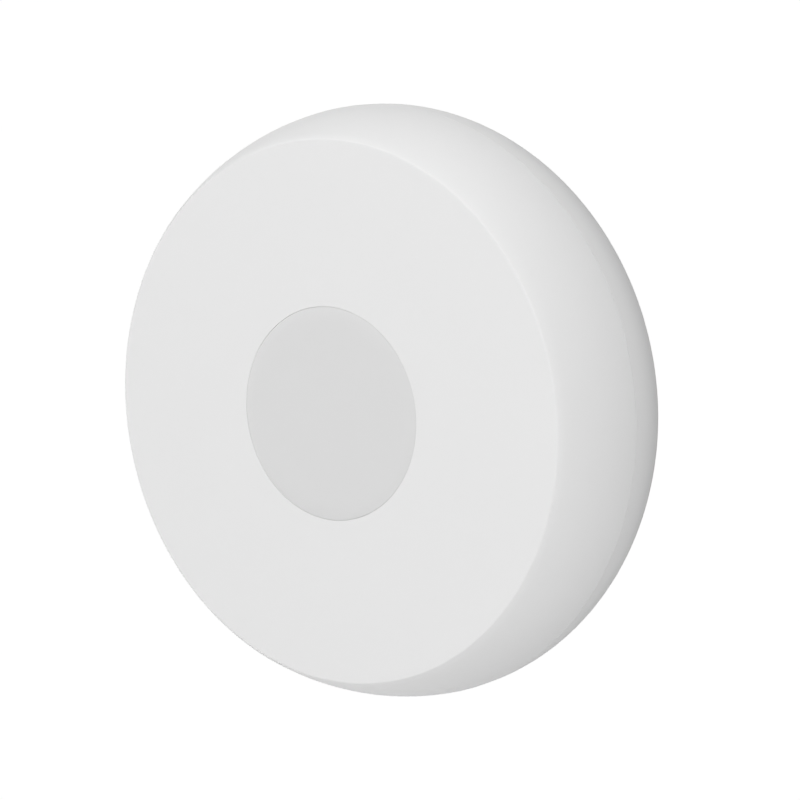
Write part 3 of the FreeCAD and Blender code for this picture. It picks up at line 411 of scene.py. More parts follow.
def side_at(level, inset=0.0):
    """Radius of the convex side at a level: centre + sqrt((round - inset)^2 - rise^2)."""
    return SIDE_CENTRE[0] + math.sqrt((SIDE_ROUND - inset) ** 2 - (level - SIDE_CENTRE[1]) ** 2)


def front_outline():
    """Closed outline of the front shell: up its outside, over the face and back inside."""
    rim = PARTING + PARTING_GAP / 2
    edge = FACE_LEVEL - EDGE_DEPTH
    corners = [
        (SPIGOT_BORE, SPIGOT_END, BLUNT),
        (SPIGOT_RADIUS, SPIGOT_END, LEAD_IN),
        (SPIGOT_RADIUS, GROOVE_BACK, CRISP),
        (GROOVE_RADIUS, GROOVE_BACK, CRISP),
        (GROOVE_RADIUS, GROOVE_FRONT, CRISP),
        (SPIGOT_RADIUS, GROOVE_FRONT, CRISP),
        (SPIGOT_RADIUS, rim, CRISP),
        (side_at(rim), rim, PARTING_BEVEL),
        (side_at(edge), edge, EDGE_ROUND),
        (CREASE_RADIUS, FACE_LEVEL, FACE_ROUND),
        (HOLE_RADIUS, FACE_LEVEL, HAIR),
        (HOLE_RADIUS, INNER_FACE, CRISP),
        (side_at(INNER_FACE, WALL), INNER_FACE, DEEP),
        (side_at(SPIGOT_ROOT, WALL), SPIGOT_ROOT, FINE),
        (SPIGOT_BORE, SPIGOT_ROOT, FINE),
    ]
    arcs = {7: SIDE_CENTRE, 12: SIDE_CENTRE}
    return outline_through(corners, closed=True, arcs=arcs, steps={7: COVER_STEPS})


print("front outline:", len(front_outline()), "rows")

# %% [markdown]
# Behind the face stand things that the photograph doesn't show: three screw bosses, the ring that guides
# the button's flange, with two keyways, and three posts that hold the membrane's retainer.

# %% Make the front cover
GUIDE_END = 14.2
GUIDE_RADIUS = 12.71
GUIDE_BORE = 11.31
KEYWAY_REACH = 12.21
KEYWAY_HALF = 1.08
BOSS_CIRCLE = 19.3
BOSS_TURNS = (90, 210, 330)
BOSS_END = 9.6
BOSS_RADIUS = 2.35
BOSS_BORE = 1.0
BOSS_BORE_END = 15.4
POST_CIRCLE = 14.51
POST_TURNS = (30, 150, 270)
POST_RADIUS = 0.8
POST_HEAD_RADIUS = 1.3
POST_END = 11.7
POST_HEAD = 12.2
INTO_WALL = 0.4
ROOT = INNER_FACE + INTO_WALL
CUT_PAST = 1.0
BORE_SUPPORT = 0.15
RING_SEGMENTS = 180
BOSS_SEGMENTS = 72
POST_SEGMENTS = 48


def guide_ring():
    """The ring round the button's flange, cut through by the keyways."""
    outline = outline_through([
        (GUIDE_BORE, GUIDE_END, LIGHT),
        (GUIDE_RADIUS, GUIDE_END, LIGHT),
        (GUIDE_RADIUS, ROOT, SHARP),
        (GUIDE_BORE, ROOT, SHARP),
    ], closed=True)
    ring = turned("guide_ring", outline, closed=True, segments=RING_SEGMENTS)
    keyway = post("keyway", bar_outline(KEYWAY_REACH, KEYWAY_HALF), GUIDE_END - CUT_PAST, INNER_FACE)
    return combined(ring, [keyway], "DIFFERENCE")


def screw_boss(turn):
    """A boss on the face's inside, with the blind bore for a frame screw."""
    bore = np.array([
        (0, BOSS_BORE_END),
        (BOSS_BORE, BOSS_BORE_END),
        (BOSS_BORE, BOSS_END + BORE_SUPPORT),
    ])
    outside = outline_through([
        (BOSS_BORE, BOSS_END, SHARP),
        (BOSS_RADIUS, BOSS_END, LIGHT),
        (BOSS_RADIUS, ROOT, SHARP),
        (0, ROOT, SHARP),
    ])
    outline = np.vstack([bore, outside])
    return turned(f"boss_{turn}", outline, at=round_place(BOSS_CIRCLE, turn), segments=BOSS_SEGMENTS)


def retainer_post(turn):
    """A thin post with the flattened head that a hot stake leaves."""
    outline = outline_through([
        (0, POST_END, SHARP),
        (POST_HEAD_RADIUS, POST_END, BLUNT),
        (POST_HEAD_RADIUS, POST_HEAD, SOFT),
        (POST_RADIUS, POST_HEAD, SHARP),
        (POST_RADIUS, ROOT, SHARP),
        (0, ROOT, SHARP),
    ])
    return turned(f"post_{turn}", outline, at=round_place(POST_CIRCLE, turn), segments=POST_SEGMENTS)


front_cover = turned("front_shell", front_outline(), closed=True)
inside = [guide_ring()] + [screw_boss(turn) for turn in BOSS_TURNS]
inside += [retainer_post(turn) for turn in POST_TURNS]
combined(front_cover, inside)
finished(front_cover, "housing", "cover_white", "front_cover")

# %% [markdown]
# ## Rear cover
# The white shell on the wall: a flat back, a side that is a large quarter round, and a straight band
# up to the parting line. A round recess takes the foam pad, and two countersunk holes take wall screws.
# Inside, three hooks hold the front, and two stops beside each hook end its turn.

# %% Make the rear cover
REAR_ROUND = PARTING - BAND - BACK
REAR_CENTRE = (BODY_RADIUS - REAR_ROUND, PARTING - BAND)
FLOOR = BACK + WALL
RECESS_PLAY = 0.3
RECESS_RADIUS = PAD_RADIUS + RECESS_PLAY
SCREW_ASIDE = 17.0
SCREW_HOLE = 2.1
SCREW_HEAD = 3.6
SCREW_BOSS = 4.4
SCREW_BOSS_END = 2.9
INTO_FLOOR = 0.5
SCREW_SIDES = (-1, 1)
SCREW_SEGMENTS = 96
HOOK_RADIUS = 23.5
HOOK_BACK = 7.2
HOOK_FRONT = 8.4
HOOK_TURNS = (0, 120, 240)
STOP_BACK = 5.7
STOP_SPAN = 3.0
CATCH_STEPS_PER_DEGREE = 1.5
CATCH_STEPS_AT_LEAST = 8
# Each catch has its lower and upper level, and its middle and its span in degrees.
CATCHES = {
    "hook": (HOOK_BACK, HOOK_FRONT, -1.8, 25.6),
    "closed_stop": (STOP_BACK, HOOK_BACK + INTO_WALL, -13.1, STOP_SPAN),
    "open_stop": (STOP_BACK, HOOK_BACK, 43.1, STOP_SPAN),
}


def rear_outline():
    """Open outline of the rear shell, from the recess's middle round the outside to the floor's middle."""
    corners = [
        (0, PAD_FRONT, SHARP),
        (RECESS_RADIUS, PAD_FRONT, LIGHT),
        (RECESS_RADIUS, BACK, SOFT),
        (REAR_CENTRE[0], BACK, SHARP),
        (BODY_RADIUS, REAR_CENTRE[1], SHARP),
        (BODY_RADIUS, REAR_RIM, PARTING_BEVEL),
        (BORE_RADIUS, REAR_RIM, PARTING_BEVEL),
        (BORE_RADIUS, REAR_CENTRE[1], SHARP),
        (REAR_CENTRE[0], FLOOR, SHARP),
        (0, FLOOR, SHARP),
    ]
    return outline_through(corners, arcs={3: REAR_CENTRE, 7: REAR_CENTRE}, steps={3: COVER_STEPS})


def screw_hole(side):
    """Cutter for a wall screw: a shank hole that opens at 45 degrees into the countersink."""
    slope = SCREW_HEAD - SCREW_HOLE
    outline = np.array([
        (0, -CUT_PAST),
        (SCREW_HOLE, -CUT_PAST),
        (SCREW_HOLE, SCREW_BOSS_END - slope),
        (SCREW_HEAD + CUT_PAST, SCREW_BOSS_END + CUT_PAST),
        (0, SCREW_BOSS_END + CUT_PAST),
    ])
    return turned("screw_hole", outline, at=(side * SCREW_ASIDE, 0), segments=SCREW_SEGMENTS)


def wall_boss(side):
    """The round boss of a wall screw, soft at its rim."""
    outline = outline_through([
        (0, FLOOR - INTO_FLOOR, SHARP),
        (SCREW_BOSS, FLOOR - INTO_FLOOR, SHARP),
        (SCREW_BOSS, SCREW_BOSS_END, SOFT),
        (0, SCREW_BOSS_END, SHARP),
    ])
    return turned(f"wall_boss_{side}", outline, at=(side * SCREW_ASIDE, 0), segments=SCREW_SEGMENTS)


def wall_middle(level):
    """Radius of the middle of the rear wall at a level: centre + sqrt(round^2 - drop^2)."""
    drop = REAR_CENTRE[1] - level
    return REAR_CENTRE[0] + math.sqrt((REAR_ROUND - WALL / 2) ** 2 - drop ** 2)


def catch(name, low, high, middle, span):
    """A block between two levels that stands out of the wall over part of the turn."""
    outline = np.array([
        (HOOK_RADIUS, low),
        (wall_middle(low), low),
        (wall_middle(high), high),
        (HOOK_RADIUS, high),
    ])
    steps = max(CATCH_STEPS_AT_LEAST, int(span * CATCH_STEPS_PER_DEGREE))
    return turned(name, outline, closed=True, middle=middle, span=span, segments=steps)


rear_cover = turned("rear_shell", rear_outline())
combined(rear_cover, [wall_boss(side) for side in SCREW_SIDES])
combined(rear_cover, [screw_hole(side) for side in SCREW_SIDES], "DIFFERENCE")
catches = []
for turn in HOOK_TURNS:
    for name, (low, high, middle, span) in CATCHES.items():
        catches.append(catch(f"{name}_{turn}", low, high, turn + middle, span))
combined(rear_cover, catches)
finished(rear_cover, "base", "cover_white", "rear_cover")

# %% [markdown]
# ## Push button
# A light grey cap that stands a tenth of a millimetre proud of the face. Its top is flat in the middle and
# slopes away over the last millimetre, which catches the light at the top edge and loses it at the bottom.
# A flange with two keys keeps it in, a stem presses the switch, and two crossed ribs stiffen it.

# %% Make the button
BUTTON_SLOPE = 1.1
BUTTON_DROP = 0.12
BUTTON_WALL = 1.4
BUTTON_TOP = 1.6
FLANGE_PLAY = 0.1
FLANGE_THICK = 1.0
BUTTON_INNER = BUTTON_RADIUS - BUTTON_WALL
BUTTON_WALL_MIDDLE = BUTTON_RADIUS - BUTTON_WALL / 2
BUTTON_UNDER = FACE - BUTTON_TOP
FLANGE_FRONT = INNER_FACE - FLANGE_PLAY
FLANGE_BACK = FLANGE_FRONT - FLANGE_THICK
STEM_RADIUS = 2.5
RIB_HALF = 0.5
RIB_TURNS = (45, -45)
KEY_HALF = 1.0
KEY_TURNS = (0, 180)
SLOPE_STEPS = 16


def button_outline():
    """Open outline of the cap, from the stem's end out round the flange and up to the middle of its top."""
    slope_round = (BUTTON_SLOPE ** 2 + BUTTON_DROP ** 2) / (2 * BUTTON_DROP)
    slope_centre = (BUTTON_RADIUS - BUTTON_SLOPE, FACE - slope_round)
    corners = [
        (0, STEM_END, SHARP),
        (STEM_RADIUS, STEM_END, SOFT),
        (STEM_RADIUS, BUTTON_UNDER, FULL),
        (BUTTON_INNER, BUTTON_UNDER, FULL),
        (BUTTON_INNER, FLANGE_BACK, CRISP),
        (FLANGE_RADIUS, FLANGE_BACK, FINE),
        (FLANGE_RADIUS, FLANGE_FRONT, FINE),
        (BUTTON_RADIUS, FLANGE_FRONT, CRISP),
        (BUTTON_RADIUS, FACE - BUTTON_DROP, HAIR),
        (BUTTON_RADIUS - BUTTON_SLOPE, FACE, SHARP),
        (0, FACE, SHARP),
    ]
    return outline_through(corners, arcs={8: slope_centre}, steps={8: SLOPE_STEPS})


def key(turn):
    """A key from the middle of the cap's wall out to its reach."""
    middle = (BUTTON_WALL_MIDDLE + KEY_REACH) / 2
    half_length = (KEY_REACH - BUTTON_WALL_MIDDLE) / 2
    outline = bar_outline(half_length, KEY_HALF, turn, middle)
    return post(f"key_{turn}", outline, FLANGE_BACK, FLANGE_FRONT)


def rib(turn):
    """A rib right across the inside of the cap, let into its top."""
    outline = bar_outline(BUTTON_WALL_MIDDLE, RIB_HALF, turn)
    return post(f"rib_{turn}", outline, FLANGE_BACK, BUTTON_UNDER + INTO_WALL)


button = turned("button_top", button_outline())
combined(button, [key(turn) for turn in KEY_TURNS] + [rib(turn) for turn in RIB_TURNS])
finished(button, "button", "button_grey", "button_cap")

# %% [markdown]
# ## Soft pieces
# The foam pad is die-cut: its sides bulge a little where the knife squeezed it. The seal is a ring of
# round section. The silicone membrane bends as the button goes in, so it is joined to neither body.

# %% Make the pad, the seal and the membrane
PAD_SWELL = 0.04
PAD_ROUND = 0.06
PAD_STEPS = 10
SEAL_STEPS = 32
MEMBRANE_RIM = 1.3
MEMBRANE_RIM_GAP = 0.02
MEMBRANE_WEB = 0.4
MEMBRANE_MIDDLE = 0.6
MEMBRANE_SPREAD = 0.3
MEMBRANE_ROUND = 0.08
MEMBRANE_MIDDLE_BACK = MEMBRANE_FRONT - MEMBRANE_MIDDLE
WEB_STEPS = 24
SOFT_SEGMENTS = 200


def foam_outline():
    """Open outline of the pad; the side is an arc that swells a little."""
    half = (PAD_FRONT - PAD_BACK) / 2
    bulge = (half ** 2 + PAD_SWELL ** 2) / (2 * PAD_SWELL)
    corners = [
        (0, PAD_BACK, SHARP),
        (PAD_RADIUS - PAD_SWELL, PAD_BACK, PAD_ROUND),
        (PAD_RADIUS - PAD_SWELL, PAD_FRONT, PAD_ROUND),
        (0, PAD_FRONT, SHARP),
    ]
    centre = (PAD_RADIUS - bulge, PAD_BACK + half)
    return outline_through(corners, arcs={1: centre}, steps={1: PAD_STEPS})


def membrane_outline():
    """Open outline of the membrane: a rim, a sloping web and a thick middle under the stem."""
    rim_bore = MEMBRANE_RADIUS - MEMBRANE_RIM
    rim_front = GUIDE_END - MEMBRANE_RIM_GAP
    middle = STEM_RADIUS + MEMBRANE_SPREAD
    corners = [
        (0, MEMBRANE_MIDDLE_BACK, SHARP),
        (middle, MEMBRANE_MIDDLE_BACK, FULL),
        (rim_bore, MEMBRANE_BACK, FULL),
        (MEMBRANE_RADIUS, MEMBRANE_BACK, FINE),
        (MEMBRANE_RADIUS, rim_front, FINE),
        (rim_bore, rim_front, FINE),
        (rim_bore - MEMBRANE_WEB, MEMBRANE_BACK + MEMBRANE_WEB, SOFT),
        (middle, MEMBRANE_MIDDLE_BACK + MEMBRANE_WEB, MEMBRANE_ROUND),
        (STEM_RADIUS, MEMBRANE_FRONT, MEMBRANE_ROUND),
        (0, MEMBRANE_FRONT, SHARP),
    ]
    return outline_through(corners, steps={1: WEB_STEPS, 6: WEB_STEPS})


foam_pad = turned("foam_pad", foam_outline(), segments=SOFT_SEGMENTS)
finished(foam_pad, "base", "pad_foam", "adhesive_pad")

seal_round = (SEAL_FRONT - SEAL_BACK) / 2
seal_outline = ring_of(seal_round, (SEAL_RADIUS - seal_round, GROOVE_LEVEL), SEAL_STEPS)
seal = turned("seal_ring", seal_outline, closed=True)
finished(seal, "housing", "seal_rubber", "cover_seal")

membrane = turned("silicone_membrane", membrane_outline(), segments=SOFT_SEGMENTS)
finished(membrane, None, "silicone", "button_membrane")
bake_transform(membrane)

# %% [markdown]
# The snap dome of the switch is a thin cap of a sphere. It flattens under the plunger; here it is a
# piece of its own with a mesh of its own, on the housing.

# %% Make the snap dome
DOME_THICK = 0.1
DOME_FOOT = 0.2
DOME_SEGMENTS = 96


def cap_centre(radius, rise, top):
    """Centre of the circle through the top (0, top) and the foot (radius, top - rise).

    Its level is top - (radius^2 + rise^2) / (2 rise).
    """
    return 0, top - (radius ** 2 + rise ** 2) / (2 * rise)


def dome_outline():
    """Open outline from the top along the outer cap to the foot, then along the inner cap back up."""
    rise = DOME_FRONT - DOME_BACK
    inner_radius = DOME_RADIUS - DOME_FOOT
    inner_front = DOME_FRONT - DOME_THICK
    corners = [
        (0, DOME_FRONT, SHARP),
        (DOME_RADIUS, DOME_BACK, HAIR),
        (inner_radius, DOME_BACK, HAIR),
        (0, inner_front, SHARP),
    ]
    arcs = {0: cap_centre(DOME_RADIUS, rise, DOME_FRONT),
            2: cap_centre(inner_radius, rise - DOME_THICK, inner_front)}
    return outline_through(corners, arcs=arcs)


dome = turned("snap_dome", dome_outline(), segments=DOME_SEGMENTS)
finished(dome, "housing", "spring_steel", "switch_dome")
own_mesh(dome)

# %% [markdown]
# ## Sums on surfaces
# A material's pattern is worked out by nodes. The class below wraps an output socket, so that a sum can
# be written as Python: each operator adds one Math node. Every other node comes from one method.

# %% Sockets that can be added up
class Amount:
    """A number that changes over a surface."""

    def __init__(self, finish, socket):
        self.finish = finish
        self.socket = socket

    def result(self, operation, *parts):
        """The outcome of one Math node."""
        node = self.finish.node("ShaderNodeMath", {"operation": operation}, dict(enumerate(parts)))
        return Amount(self.finish, node.outputs[0])

    def __add__(self, other):
        return self.result("ADD", self, other)

    def __sub__(self, other):
        return self.result("SUBTRACT", self, other)

    def __rsub__(self, other):
        return self.result("SUBTRACT", other, self)

    def __mul__(self, other):
        return self.result("MULTIPLY", self, other)

    __radd__ = __add__
    __rmul__ = __mul__

    def above(self, limit):
        return self.result("GREATER_THAN", self, limit)

    def sine(self):
        return self.result("SINE", self)

    def root(self):
        return self.result("SQRT", self)


class Finish:
    """A material: its Principled shader and what feeds it."""

    def __init__(self, name, **constants):
        self.material = bpy.data.materials.new(name)
        self.material.use_nodes = True
        self.tree = self.material.node_tree
        self.shader = self.tree.nodes["Principled BSDF"]
        for socket, value in constants.items():
            self.shader.inputs[socket.replace("_", " ")].default_value = value

    def node(self, kind, settings=None, sockets=None):
        """A node: its settings first, then a value or a link for each socket."""
        node = self.tree.nodes.new(kind)
        for name, value in (settings or {}).items():
            setattr(node, name, value)
        for name, value in (sockets or {}).items():
            self.feed(node.inputs[name], value)
        return node

    def feed(self, socket, value):
        """Links an amount or an output to a socket, or sets a plain value."""
        if isinstance(value, Amount):
            value = value.socket
        if isinstance(value, bpy.types.NodeSocket):
            self.tree.links.new(value, socket)
        else:
            socket.default_value = value

    def place(self, stretch=(1, 1, 1)):
        """Object coordinates, stretched along the axes."""
        coordinates = self.node("ShaderNodeTexCoord").outputs["Object"]
        return self.node("ShaderNodeMapping", None, {"Vector": coordinates, "Scale": stretch}).outputs[0]

    def noise(self, grain, detail=2.0, stretch=(1, 1, 1)):
        """Soft noise whose grain is that many millimetres wide."""
        sockets = {"Vector": self.place(stretch), "Scale": 1 / (grain * MM), "Detail": detail}
        return Amount(self, self.node("ShaderNodeTexNoise", None, sockets).outputs[0])

    def cells(self, width, feature="F1"):
        """Distance in a Voronoi pattern whose cells are that many millimetres wide."""
        sockets = {"Vector": self.place(), "Scale": 1 / (width * MM)}
        node = self.node("ShaderNodeTexVoronoi", {"feature": feature}, sockets)
        return Amount(self, node.outputs["Distance"])

    def axes(self):
        """Object coordinates as three amounts, in metres."""
        node = self.node("ShaderNodeSeparateXYZ", None, {0: self.place()})
        return [Amount(self, output) for output in node.outputs]

    def blend(self, share, first, second):
        """The first colour where the share is 0 and the second where it is 1."""
        sockets = {"Factor": share, 6: self.colour(first), 7: self.colour(second)}
        return self.node("ShaderNodeMix", {"data_type": "RGBA"}, sockets).outputs[2]

    def colour(self, value):
        """A colour with its fourth number, or an output as it is."""
        return value if isinstance(value, bpy.types.NodeSocket) else (*value, 1)

    def set(self, colour, roughness=None, height=None, depth=None):
        """Feeds the shader; height times depth, in millimetres, becomes a bump."""
        self.feed(self.shader.inputs["Base Color"], self.colour(colour))
        if roughness is not None:
            self.feed(self.shader.inputs["Roughness"], roughness)
        if height is not None:
            bump = self.node("ShaderNodeBump", None, {"Height": height, "Distance": depth * MM})
            self.feed(self.shader.inputs["Normal"], bump.outputs[0])
        return self.material


print("sums on surfaces can be written as Python")

# %% [markdown]
# ## Moulded plastic
# Covers, button and frame are injection moulded. The mould is spark eroded, which leaves a fine satin
# grain of about a sixth of a millimetre, a little coarser on the pieces inside. The resin flows, which
# leaves a hardly visible cloudiness. The button is a little glossier than the covers.

# %% Plastics
CLOUD_WIDTH = 9.0
GRAIN_ROUGHNESS = 0.12


def moulded(name, colour, roughness, grain=0.16, depth=0.004, cloud=0.006, gloss=0.1):
    """A moulded plastic: cloudy by a share of its colour, with a satin grain in bump and roughness."""
    finish = Finish(name, Specular_IOR_Level=gloss)
    clouds = finish.noise(CLOUD_WIDTH, detail=3.0)
    grains = finish.noise(grain, detail=1.5)
    darker = [part * (1 - cloud) for part in colour]
    lighter = [part * (1 + cloud) for part in colour]
    shade = finish.blend(clouds, darker, lighter)
    return finish.set(shade, roughness + GRAIN_ROUGHNESS * (grains - 0.5), grains, depth)


WHITE = (0.806, 0.806, 0.806)
GREY = (0.694, 0.694, 0.694)
finishes = {
    "cover_white": moulded("white_plastic", WHITE, 0.58),
    "button_grey": moulded("grey_plastic", GREY, 0.42, gloss=0.3),
    "frame_black": moulded("black_frame_plastic", (0.03, 0.03, 0.033), 0.5,
                           grain=0.3, depth=0.012, cloud=0.08, gloss=0.4),
    "switch_body": moulded("black_switch_plastic", (0.022, 0.022, 0.024), 0.42,
                           grain=0.2, depth=0.006, cloud=0.05, gloss=0.45),
    "plunger_plastic": moulded("ivory_plunger_plastic", (0.55, 0.46, 0.32), 0.45,
                               grain=0.2, depth=0.004, cloud=0.03, gloss=0.4),
}
print(len(finishes), "plastics")

# %% [markdown]
# ## Foam, rubber and silicone
# Cut foam shows its bubbles as small pores that sink into the surface; their darker colour is painted shade
# in the hollows. Rubber is nearly black with a dusty bloom. Silicone is cloudy and lets some light in, so
# it gets a little subsurface scattering.

# %% Soft finishes
def foam_finish():
    """Grey foam: pores sink into the surface, and their darker colour is painted shade in the hollows."""
    finish = Finish("grey_foam", Specular_IOR_Level=0.15)
    bubbles = finish.cells(0.32)
    # The pores' darker colour is painted shade in their hollows; the bump below sinks them.
    painted_pore_shade = (1 - bubbles * 2.2).above(0.35) * (1 - bubbles)
    shade = finish.blend(painted_pore_shade, (0.56, 0.57, 0.58), (0.3, 0.31, 0.32))
    fine = finish.noise(0.12, 2.0)
    return finish.set(shade, 0.9 + 0.1 * fine, bubbles + 0.3 * fine, 0.05)


def rubber_finish():
    """Black rubber: a grey bloom comes and goes along it."""
    finish = Finish("black_rubber", Specular_IOR_Level=0.35)
    bloom = finish.noise(1.4, 4.0)
    shade = finish.blend(bloom, (0.018, 0.018, 0.019), (0.05, 0.05, 0.052))
    return finish.set(shade, 0.5 + 0.3 * bloom, finish.noise(0.15), 0.006)


def silicone_finish():
    """Milky silicone: cloudy and a little see-through."""
    finish = Finish("milky_silicone", Specular_IOR_Level=0.4, Subsurface_Weight=0.3, Subsurface_Scale=0.001)
    clouds = finish.noise(2.5, 3.0)
    shade = finish.blend(clouds, (0.58, 0.59, 0.6), (0.68, 0.69, 0.7))
    return finish.set(shade, 0.38 + 0.15 * clouds, finish.noise(0.3), 0.004)


finishes["pad_foam"] = foam_finish()
finishes["seal_rubber"] = rubber_finish()
finishes["silicone"] = silicone_finish()
print("soft finishes made")

# %% [markdown]
# ## Circuit board and what is soldered on it
# Solder mask is a glossy green lacquer, a little lighter over the copper tracks. At the board's rim the
# mask ends and the tan glass fibre shows. Chips are dull black, ceramic parts are pale and matt.

# %% Board and components
BARE_RIM = 0.06
MASK_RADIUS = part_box("circuit_board")[1].x - BARE_RIM * MM
TRACK_SPACING = 1.7
TRACK_HALF = 0.09
WEAVE_FREQUENCY = 5200
BAND_SHARE = 0.16


def board_finish():
    """Green solder mask with lighter tracks, and tan fibre where the radius passes the board's edge."""
    finish = Finish("green_board", Specular_IOR_Level=0.5, Coat_Roughness=0.15)
    east, _, north = finish.axes()
    tracks = 1 - finish.cells(TRACK_SPACING, "DISTANCE_TO_EDGE").above(TRACK_HALF)
    mask = finish.blend(tracks, (0.012, 0.115, 0.045), (0.03, 0.2, 0.08))
    rim = (east * east + north * north).root().above(MASK_RADIUS)
    weave = (east * WEAVE_FREQUENCY).sine() * (north * WEAVE_FREQUENCY).sine()
    fibre = finish.blend(weave * 0.5 + 0.5, (0.42, 0.36, 0.2), (0.5, 0.43, 0.26))
    shade = finish.blend(rim, mask, fibre)
    return finish.set(shade, 0.28 + 0.3 * rim + 0.05 * weave, tracks * 0.5 + weave * 0.1, 0.03)


def speckled(name, first, second, grain, roughness, gloss=0.4, depth=0.006):
    """A pressed or fired body: two near colours in fine speckles."""
    finish = Finish(name, Specular_IOR_Level=gloss)
    specks = finish.noise(grain, 4.0)
    return finish.set(finish.blend(specks, first, second), roughness + 0.15 * specks, specks, depth)


def banded_capacitor():
    """Ochre moulded body with the darker band that marks the plus end."""
    finish = Finish("ochre_capacitor", Specular_IOR_Level=0.35)
    low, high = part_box("reservoir_capacitor")
    east, _, _ = finish.axes()
    band = east.above(high.x - BAND_SHARE * (high.x - low.x))
    specks = finish.noise(0.2, 3.0)
    body = finish.blend(specks, (0.62, 0.36, 0.06), (0.72, 0.44, 0.09))
    return finish.set(finish.blend(band, body, (0.24, 0.09, 0.02)), 0.5 + 0.12 * specks, specks, 0.006)


def lamp_finish():
    """Milky resin of the status lamp, yellowish where the phosphor lies under it."""
    finish = Finish("milky_lamp", Specular_IOR_Level=0.5, Transmission_Weight=0.15)
    clouds = finish.noise(0.5, 2.0)
    shade = finish.blend(clouds, (0.82, 0.82, 0.76), (0.86, 0.8, 0.5))
    return finish.set(shade, 0.3 + 0.1 * clouds, clouds, 0.003)


finishes["board_green"] = board_finish()
finishes["chip_black"] = speckled("black_epoxy", (0.014, 0.014, 0.015), (0.035, 0.035, 0.037), 0.08, 0.5)
finishes["ceramic"] = speckled("pale_ceramic", (0.5, 0.42, 0.3), (0.6, 0.52, 0.38), 0.1, 0.45)
finishes["capacitor_yellow"] = banded_capacitor()
finishes["led_white"] = lamp_finish()
print(len(finishes), "finishes so far")

# %% [markdown]
# ## Metals
# Sheet metal is rolled, which leaves fine lines along it. Tinned parts are blotchy, zinc is duller, and
# the can of the cell is turned, so its rings run round the axis.

# %% Metals
ALONG_ROLLING = (1 / 40, 1, 1)
RING_FREQUENCY = 30000


def rolled(name, first, second, roughness, grain=0.05, depth=0.003):
    """Rolled sheet: noise stretched forty times along X makes the lines."""
    finish = Finish(name, Metallic=1.0)
    lines = finish.noise(grain, 2.0, ALONG_ROLLING)
    blotches = finish.noise(1.5, 3.0)
    return finish.set(finish.blend(blotches, first, second), roughness + 0.18 * lines, lines, depth)


def turned_metal():
    """Nickel-plated can: rings round the axis, sin(frequency times radius), with faint scuffs."""
    finish = Finish("nickel_can", Metallic=1.0)
    east, _, north = finish.axes()
    rings = ((east * east + north * north).root() * RING_FREQUENCY).sine()
    scuffs = finish.noise(0.8, 5.0)
    shade = finish.blend(scuffs, (0.6, 0.59, 0.57), (0.7, 0.69, 0.67))
    return finish.set(shade, 0.24 + 0.16 * scuffs, rings + scuffs, 0.002)


finishes["spring_steel"] = rolled("stainless_spring", (0.56, 0.55, 0.53), (0.64, 0.63, 0.61), 0.26)
finishes["tinned_metal"] = rolled("tinned_sheet", (0.6, 0.6, 0.59), (0.72, 0.72, 0.7), 0.36, 0.2, 0.004)
finishes["screw_steel"] = rolled("zinc_screw", (0.42, 0.43, 0.45), (0.55, 0.56, 0.58), 0.38, 0.1, 0.004)
finishes["cell_steel"] = turned_metal()
print(len(finishes), "finishes")

# %% [markdown]
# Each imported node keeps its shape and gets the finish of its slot; so does each piece made above.

# %% Give every piece its finish
SLOT_OF_NODE = {
    "rear_cover": "cover_white", "front_cover": "cover_white", "button_cap": "button_grey",
    "adhesive_pad": "pad_foam", "cover_seal": "seal_rubber", "inner_frame": "frame_black",
    "membrane_retainer": "frame_black", "frame_screws": "screw_steel", "circuit_board": "board_green",
    "switch_housing": "switch_body", "switch_plate": "spring_steel", "switch_dome": "spring_steel",
    "battery_positive_contact": "spring_steel", "battery_negative_contact": "spring_steel",
    "switch_plunger": "plunger_plastic", "switch_terminals": "tinned_metal", "radio_shield": "tinned_metal",
    "crystal": "tinned_metal", "button_membrane": "silicone", "battery_cell": "cell_steel",
    "radio_chip": "chip_black", "board_resistors": "chip_black", "chip_antenna": "ceramic",
    "board_capacitors": "ceramic", "reservoir_capacitor": "capacitor_yellow", "status_led": "led_white",
}


def dress(piece, slot):
    """One material on the whole piece."""
    if not piece.material_slots:
        piece.data.materials.append(None)
    for place in piece.material_slots:
        place.material = finishes[slot]


for name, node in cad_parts.items():
    dress(node, SLOT_OF_NODE[name])
pieces = (front_cover, rear_cover, button, foam_pad, seal, membrane, dome)
for piece in pieces:
    dress(piece, piece["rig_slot"])
print("dressed", len(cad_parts), "nodes and", len(pieces), "pieces")

# %% [markdown]
# ## Studio
# The photograph shows the puck alone on pure white, in plain soft light: the face is evenly lit, and the
# right side falls off to a slightly darker grey. The world and the floor look white to the camera, to
# gloss and to glass, but light the object only a little. The floor is a pale plane under the puck and
# keeps its shadow.

# %% World and floor
AMBIENT = 0.15
SEEN_WHITE = 1.01
FLOOR_LEVEL = -0.5
FLOOR_SIZE = 12.0
FLOOR_COLOUR = (0.78, 0.78, 0.78)
FLOOR_CLOUD = 0.02
FLOOR_SHINE = 0.8
FLOOR_LIT = 0.15


def seen_directly(finish):
    """1 for camera, glossy and transmission rays, else 0."""
    rays = finish.node("ShaderNodeLightPath").outputs
    camera, glossy, through = (Amount(finish, rays[f"Is {kind} Ray"])
                               for kind in ("Camera", "Glossy", "Transmission"))
    return (camera + glossy + through).above(0.5)


class Sky(Finish):
    """The world's nodes, with the same methods as a finish."""

    def __init__(self):
        world = bpy.data.worlds.new("studio")
        bpy.context.scene.world = world
        world.use_nodes = True
        self.tree = world.node_tree
        strength = AMBIENT + (SEEN_WHITE - AMBIENT) * seen_directly(self)
        background = self.tree.nodes["Background"]
        self.feed(background.inputs["Color"], (1, 1, 1, 1))
        self.feed(background.inputs["Strength"], strength)


